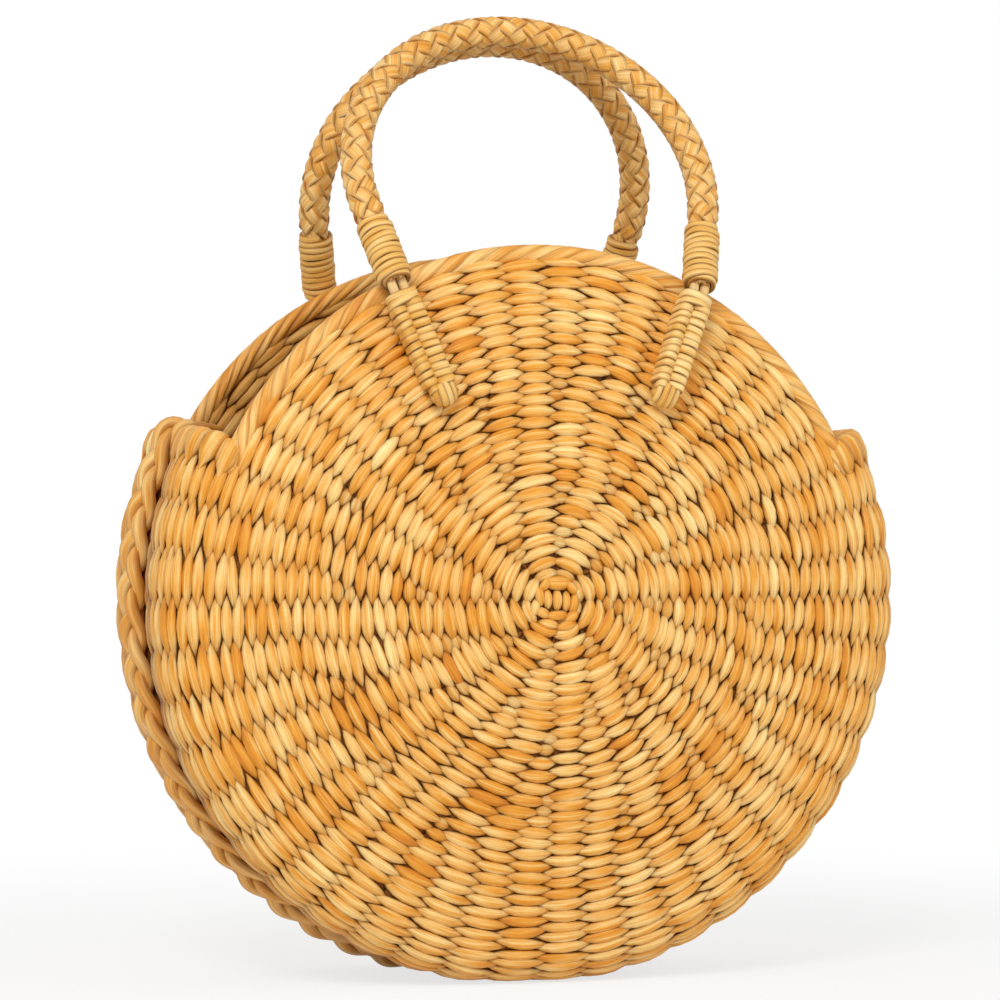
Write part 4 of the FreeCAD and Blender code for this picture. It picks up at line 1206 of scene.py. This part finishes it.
print("lean in degrees:", {half: round(math.degrees(line["lean"]), 2) for half, line in HANDLES.items()})

# %% [markdown]
# Braid of the handles
#
# The rope is a round braid of flat leaves, five one way and five the other, each over one and under
# the next. A strand turns about the rope's middle line at a steady rate; its distance from that line
# rises and falls once for every two crossings, and the other way's strands do the opposite. At the ends
# the rope gets slimmer, where the whipping squeezes it.

# %% Braid the handles
BRAID = strand_kind(rope_straw, places=10, squareness=0.6, dark=0.7)
BRAID_TONES = (0.5, 0.8)
BRAID_STRANDS = 5
BRAID_RATE = 0.109
BRAID_LIFT = 0.75
BRAID_RADIUS = 5.75
BRAID_SLIM = 4.6
BRAID_LEAD = 2.0
BRAID_EASE = 7.0
BRAID_TUCK = 1.5
BRAID_TUCK_RUN = 8.0
BRAID_HALF_WIDTH = 3.5
BRAID_END_WIDTH = 0.75
BRAID_SWELL = (0.05, 1 / 9)
BRAID_SWELL_STEP = 2.4
BRAID_HALF_THICK = 0.8
BRAID_RINGS = 300


def add_braid(half):
    """Helices: angle = rate s + turn k / n, and n more of them backwards; height = lift cos(n rate s)."""
    total = HANDLES[half]["total"]
    first = HINGE_GAP / 2 + WRAP_CLEARANCE
    s = np.linspace(first, total - first, BRAID_RINGS)[None]
    end = np.minimum(s, total - s)
    way = np.repeat([1, -1], BRAID_STRANDS)[:, None]
    number = np.tile(np.arange(BRAID_STRANDS), 2)[:, None]
    turn = way * BRAID_RATE * s + 2 * np.pi * number / BRAID_STRANDS
    full = smooth_step((end - WHIPPING_TOP + BRAID_LEAD) / BRAID_EASE)
    radius = BRAID_SLIM + (BRAID_RADIUS - BRAID_SLIM) * full
    radius = radius + way * BRAID_LIFT * np.cos(BRAID_STRANDS * BRAID_RATE * s)
    radius = radius - BRAID_TUCK * (1 - smooth_step((end - HINGE_GAP / 2) / BRAID_TUCK_RUN))
    point, out = rope_line(half, s)
    normal = around(turn, out, Y_WAY)
    path = point + radius[..., None] * normal
    width = BRAID_HALF_WIDTH * (BRAID_END_WIDTH + (1 - BRAID_END_WIDTH) * full)
    width = width * (1 + wave(s, *BRAID_SWELL, BRAID_SWELL_STEP * number))
    piece = add_swept(f"{half}_rope", BRAID, *placed(hang, path, normal, half), width, BRAID_HALF_THICK,
                      rng.uniform(*BRAID_TONES, 2 * BRAID_STRANDS))
    place_piece(piece, f"{half}_handle", "straw_rope", f"{half}_handle_braid")


for half in HALVES:
    add_braid(half)

# %% [markdown]
# Whippings
#
# Cord is wound tightly round each end of a handle, ten flat turns that touch. A helix of one cord does
# it; slow waves in its radius and in its rise keep it from looking like a machine's spring, and both of
# its ends slip under.

# %% Wind the whippings
WHIPPING = strand_kind(cord_straw, places=10, squareness=0.65, dark=0.8)
WHIPPING_TONES = (0.4, 0.7)
WHIPPING_RADIUS = 7.1
WHIPPING_LOW = HINGE_GAP / 2 + WRAP_CLEARANCE + CORD / 2
WHIPPING_HALF_WIDTH = 1.62
WHIPPING_RINGS = 380
END_TURN = 0.8
END_EASE = 0.4
END_SINK = 1.8
FIRST_SINK = 0.9
FIRST_SINK_TURN = 0.6
FIRST_SPREAD = 0.25
FIRST_SPREAD_TURN = 0.5
# Waves along the cord: amount and rate.
RADIUS_SLOW = (0.16, 1.37)
RADIUS_QUICK = (0.1, 4.3)
RISE_SLOW = (0.3, 0.83)
RISE_QUICK = (0.2, 2.21)
WIDTH_SLOW = (0.12, 0.61)
WIDTH_QUICK = (0.06, 3.7)


def on_end(points, half, own):
    """From the frame of a handle's end, z up the rope, to the bag's."""
    splay = own * HANDLES[half]["splay"]
    x, y, z = points[..., 0], points[..., 1], points[..., 2]
    side = x * math.cos(splay) + z * math.sin(splay) + own * FOOT_HALF_SPAN
    up = -x * math.sin(splay) + z * math.cos(splay)
    return hang(np.stack([side, y, up], axis=-1), half)


def add_whipping(half, side):
    """A helix: radius and rise wave a little, and both ends sink in."""
    turn = np.linspace(-END_TURN, WHIPPING_TURNS, WHIPPING_RINGS)[None]
    phase = rng.uniform(0, 2 * np.pi)
    angle = 2 * np.pi * turn + phase
    sink = 1 - smooth_step(np.minimum(turn + END_TURN, WHIPPING_TURNS - turn) / END_EASE)
    radius = WHIPPING_RADIUS + wave(angle, *RADIUS_SLOW, phase) + wave(angle, *RADIUS_QUICK)
    radius = radius - END_SINK * sink - FIRST_SINK * smooth_step(FIRST_SINK_TURN - turn)
    height = WHIPPING_LOW + WHIPPING_PITCH * np.maximum(turn, 0)
    height = height + wave(angle, *RISE_SLOW, 2 * phase) + wave(angle, *RISE_QUICK, phase)
    normal = around(angle, X_WAY, Y_WAY)
    path = radius[..., None] * normal + height[..., None] * Z_WAY
    width = 1 + wave(angle, *WIDTH_SLOW) + wave(angle, *WIDTH_QUICK)
    width = width + FIRST_SPREAD * smooth_step(FIRST_SPREAD_TURN - turn)
    piece = add_swept(f"{half}_{side}_bound_cord", WHIPPING,
                      *placed(on_end, path, normal, half, own_side(half, side)), WHIPPING_HALF_WIDTH * width,
                      CORD / 2, rng.uniform(*WHIPPING_TONES, 1))
    place_piece(piece, f"{half}_handle", "straw_cord", f"{half}_{side}_whipping")


for half, side in CORNERS:
    add_whipping(half, side)

# %% [markdown]
# Lashed legs
#
# Under each whipping, the handle's two core strands come out bare, bend, and lie down on the disc,
# where cord holds them. The cord goes in figures of eight about the two strands, so two rows of loops
# meet in a zigzag down the middle; at the top it starts with plain turns round both. On the side of the
# disc each turn reaches down into the weave, as the sewn one does. The leg's frame has z up the leg, x
# across the two strands and y off the disc.

# %% Set up the legs
LASHING_TURNS = 13
LASHING_PITCH = 3.5
LASHING_WIDE = STRAND_STEP + STRAND / 2 + WRAP_CLEARANCE + CORD / 2
FOOT_TILT = math.radians(22)
SEAT_CLEARANCE = 0.3
LEG_OUTER = math.sqrt((STRAND / 2 + WRAP_CLEARANCE + CORD / 2) * LASHING_WIDE) + CORD / 2
LEG_LENGTH = LASHING_TURNS * LASHING_PITCH + CORD + 2 * WRAP_CLEARANCE
LEG_END = HINGE_GAP / 2 + LEG_LENGTH


def leg_axes(own):
    """Hinge point and the leg's x, y and z directions, in a half's own frame.

    The leg's lower end stands off the dome along the dome's normal; z points from there to the hinge.
    """
    foot = np.array([own * FOOT_HALF_SPAN, HINGE_HEIGHT - AXIS_HEIGHT, FOOT_OUT])
    low_x = foot[0] - own * LEG_END * math.sin(FOOT_TILT)
    low_y = foot[1] - LEG_END * math.cos(FOOT_TILT)
    rise = math.sqrt(DOME_RADIUS ** 2 - low_x ** 2 - low_y ** 2)
    off = unit(np.array([low_x, low_y, rise]))
    low = off * (DOME_RADIUS + LEG_OUTER + SEAT_CLEARANCE) + DOME_HEIGHT * Z_WAY
    up = unit(foot - low)
    off = unit(off - up * (off @ up))
    return foot, np.stack([np.cross(off, up), off, up])


def on_leg(points, half, own):
    """From a leg's frame to the bag's."""
    foot, axes = leg_axes(own)
    return stand(points @ axes + foot, half)


print("each leg is", round(LEG_LENGTH, 1), "long")

# %% Lash the legs
LASHING = strand_kind(cord_straw, places=10, squareness=0.65, dark=0.75, under=False)
LASHING_TONES = (0.55, 0.85)
LASHING_THICK = 4.3
LASHING_ASIDE = -1.0
LASHING_HALF_WIDTH = 1.85
LASHING_RINGS = 620
LASHING_EASE = 0.3
LASHING_SQUEEZE = 1.2
PLAIN_TURNS = 1.4
PLAIN_EASE = 0.7
PLAIN_THICK = 1.1
ROOT_SOFTNESS = 0.1
SEWN_DEPTH = 0.8
# Waves along the cord: amount and rate.
LASHING_RISE_SLOW = (0.25, 0.77)
LASHING_RISE_QUICK = (0.12, 2.3)
LASHING_SWELL = (0.12, 0.53)


def add_lashing(half, side):
    """Figure of eight x = wide cos(t), y = thick root of sin(2t), which rises; at the top y is sin(t)."""
    own = own_side(half, side)
    last = LASHING_TURNS + END_TURN
    turn = np.linspace(0, last, LASHING_RINGS)[None]
    t = 2 * np.pi * turn
    plain = smooth_step((turn - LASHING_TURNS + PLAIN_TURNS) / PLAIN_EASE)
    sink = 1 - smooth_step(np.minimum(turn, last - turn) / LASHING_EASE)
    double = np.sin(2 * t)
    eight = double / np.sqrt(np.abs(double) + ROOT_SOFTNESS)
    x = (LASHING_WIDE - LASHING_SQUEEZE * sink) * np.cos(t) - LASHING_ASIDE * np.sin(t) ** 2
    y = LASHING_THICK * ((1 - plain) * eight + plain * PLAIN_THICK * np.sin(t))
    z = LASHING_PITCH * np.minimum(turn, LASHING_TURNS) - LEG_END + WRAP_CLEARANCE + CORD / 2
    z = z + wave(t, *LASHING_RISE_SLOW, own) + wave(t, *LASHING_RISE_QUICK)
    foot, axes = leg_axes(own)
    off_disc = np.linalg.norm(foot + z[..., None] * axes[2] - DOME_HEIGHT * Z_WAY, axis=-1)
    sewn = np.maximum((off_disc - DOME_RADIUS + SEWN_DEPTH) / LASHING_THICK, 1)
    path = np.stack([x, np.where(y < 0, y * sewn, y), z], axis=-1)
    way = np.gradient(path, axis=1)
    normal = np.stack([way[..., 1], -way[..., 0], 0 * t], axis=-1)
    width = LASHING_HALF_WIDTH * (1 + wave(t, *LASHING_SWELL, 2 * own))
    piece = add_swept(f"{half}_{side}_sewn_cord", LASHING, *placed(on_leg, path, normal, half, own), width,
                      CORD / 2, rng.uniform(*LASHING_TONES, 1))
    place_piece(piece, "bag", "straw_cord", f"{half}_{side}_leg_lashing")


for half, side in CORNERS:
    add_lashing(half, side)

# %% [markdown]
# Ends of the legs
#
# At the lower end the strands are turned over and tucked under the lashing, side by side, so the leg
# ends in a small rounded knot of loops. Each loop is part of an ellipse from the front over the end to
# the back; the loops at the sides are smaller, as on an egg. One short thick strand lies across inside
# them, where the real knot is full of tucked leaf.

# %% Turn the loops at the leg ends
TUCKED = strand_kind(cord_straw, places=8, squareness=0.9, dark=0.6)
TUCKED_TONES = (0.4, 0.8)
KNOT_LOOPS = 4
KNOT_WIDE = 6.15
KNOT_THICK = 4.5
KNOT_LENGTH = 7.6
KNOT_LOOP_PITCH = 2.8
KNOT_HALF_WIDTH = 1.75
KNOT_HALF_THICK = 1.2
KNOT_RINGS = 21
KNOT_SHIFT_SPREAD = 0.15
KNOT_SIZES = (0.94, 1.04)
KNOT_TURNS = (-25, 205)
KNOT_PINCH = 0.08
KNOT_FAN = 0.25
PLUG_TONE = 0.4
PLUG_REACH = 4.6
PLUG_DROP = 2.2
PLUG_HALF_WIDTH = 3.6
PLUG_HALF_THICK = 2.7


def add_leg_knot(half, side):
    """Half ellipses y = thick cos(a), z = -length sin(a), scaled by the egg's width at each loop."""
    x = (np.arange(KNOT_LOOPS) - (KNOT_LOOPS - 1) / 2)[:, None] * KNOT_LOOP_PITCH
    x = x + rng.normal(0, KNOT_SHIFT_SPREAD, x.shape)
    angle = np.radians(np.linspace(*KNOT_TURNS, KNOT_RINGS))[None]
    share = np.sqrt(1 - (x / (KNOT_WIDE + KNOT_HALF_THICK)) ** 2)
    share = share * rng.uniform(*KNOT_SIZES, x.shape)
    y = (KNOT_THICK - KNOT_HALF_THICK / 2) * share * np.cos(angle)
    z = -LEG_END - WRAP_CLEARANCE - (KNOT_LENGTH - KNOT_HALF_THICK) * share * np.sin(angle)
    loops = np.stack([x * (1 - KNOT_PINCH * np.sin(angle) ** 2), y, z], axis=-1)
    loop_normal = around(angle, Y_WAY, -Z_WAY) + KNOT_FAN * x[..., None] * X_WAY
    reach = np.linspace(-PLUG_REACH, PLUG_REACH, KNOT_RINGS)[None, :, None]
    plug = reach * X_WAY - (LEG_END + PLUG_DROP) * Z_WAY
    path = np.concatenate([loops, plug])
    normal = np.concatenate([loop_normal, 0 * plug + Y_WAY])
    width = np.array([KNOT_HALF_WIDTH] * KNOT_LOOPS + [PLUG_HALF_WIDTH])[:, None]
    thick = np.array([KNOT_HALF_THICK] * KNOT_LOOPS + [PLUG_HALF_THICK])[:, None]
    tone = np.append(rng.uniform(*TUCKED_TONES, KNOT_LOOPS), PLUG_TONE)
    piece = add_swept(f"{half}_{side}_tucked_ends", TUCKED,
                      *placed(on_leg, path, normal, half, own_side(half, side)), width, thick, tone)
    place_piece(piece, "bag", "straw_cord", f"{half}_{side}_leg_knot")


for half, side in CORNERS:
    add_leg_knot(half, side)

# %% [markdown]
# Bare strands at the hinges
#
# Between whipping and lashing the two core strands show for a few millimetres, and there the handle
# folds. They are fixed to the bag at one end and to the handle at the other, and this piece is shaped
# between the two as they stand at rest. Each strand is a cubic curve that leaves the leg along the leg
# and reaches the handle along the rope.

# %% Bend the bare strands
BARE = strand_kind(core_straw, places=10, squareness=0.8, dark=0.5)
BARE_TONES = np.array([0.7, 0.85])
BARE_HALF_THICK = 0.42 * STRAND
STRAND_TUCK = 3.0
STRAND_RINGS = 17


def add_bare_strands(half, side):
    """Two cubic curves: a smooth step from end to end, plus each end's direction.

    The directions are weighted by t(1 - t)^2 at the leg and by -t^2(1 - t) at the handle.
    """
    where = (half, own_side(half, side))
    reach = (HINGE_GAP / 2 + STRAND_TUCK) * Z_WAY
    step = np.array([[-STRAND_STEP], [STRAND_STEP]]) * X_WAY
    low = on_leg(step - reach, *where)[:, None]
    high = on_end(reach - step, *where)[:, None]
    low_way = turned(on_leg, 2 * reach, *where)
    high_way = turned(on_end, 2 * reach, *where)
    t = np.linspace(0, 1, STRAND_RINGS)[None, :, None]
    path = low + (high - low) * smooth_step(t) + low_way * t * (1 - t) ** 2 - high_way * t ** 2 * (1 - t)
    piece = add_swept(f"{half}_{side}_bare_strands", BARE, path, turned(on_leg, Y_WAY, *where), STRAND / 2,
                      BARE_HALF_THICK, BARE_TONES)
    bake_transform(piece)
    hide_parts(f"{half}_{side}_hinge_strands")


for half, side in CORNERS:
    add_bare_strands(half, side)

# %% [markdown]
# Strands that stay hidden
#
# The strands inside the ropes and under the lashings are right as they are. They only get the leaf
# finish.

# %% Finish the hidden strands
hidden = [name for name in frame["nodes"] if name.endswith("_core")]
for name in hidden:
    frame["nodes"][name].material_slots[0].material = core_straw
print("leaf finish on", hidden)
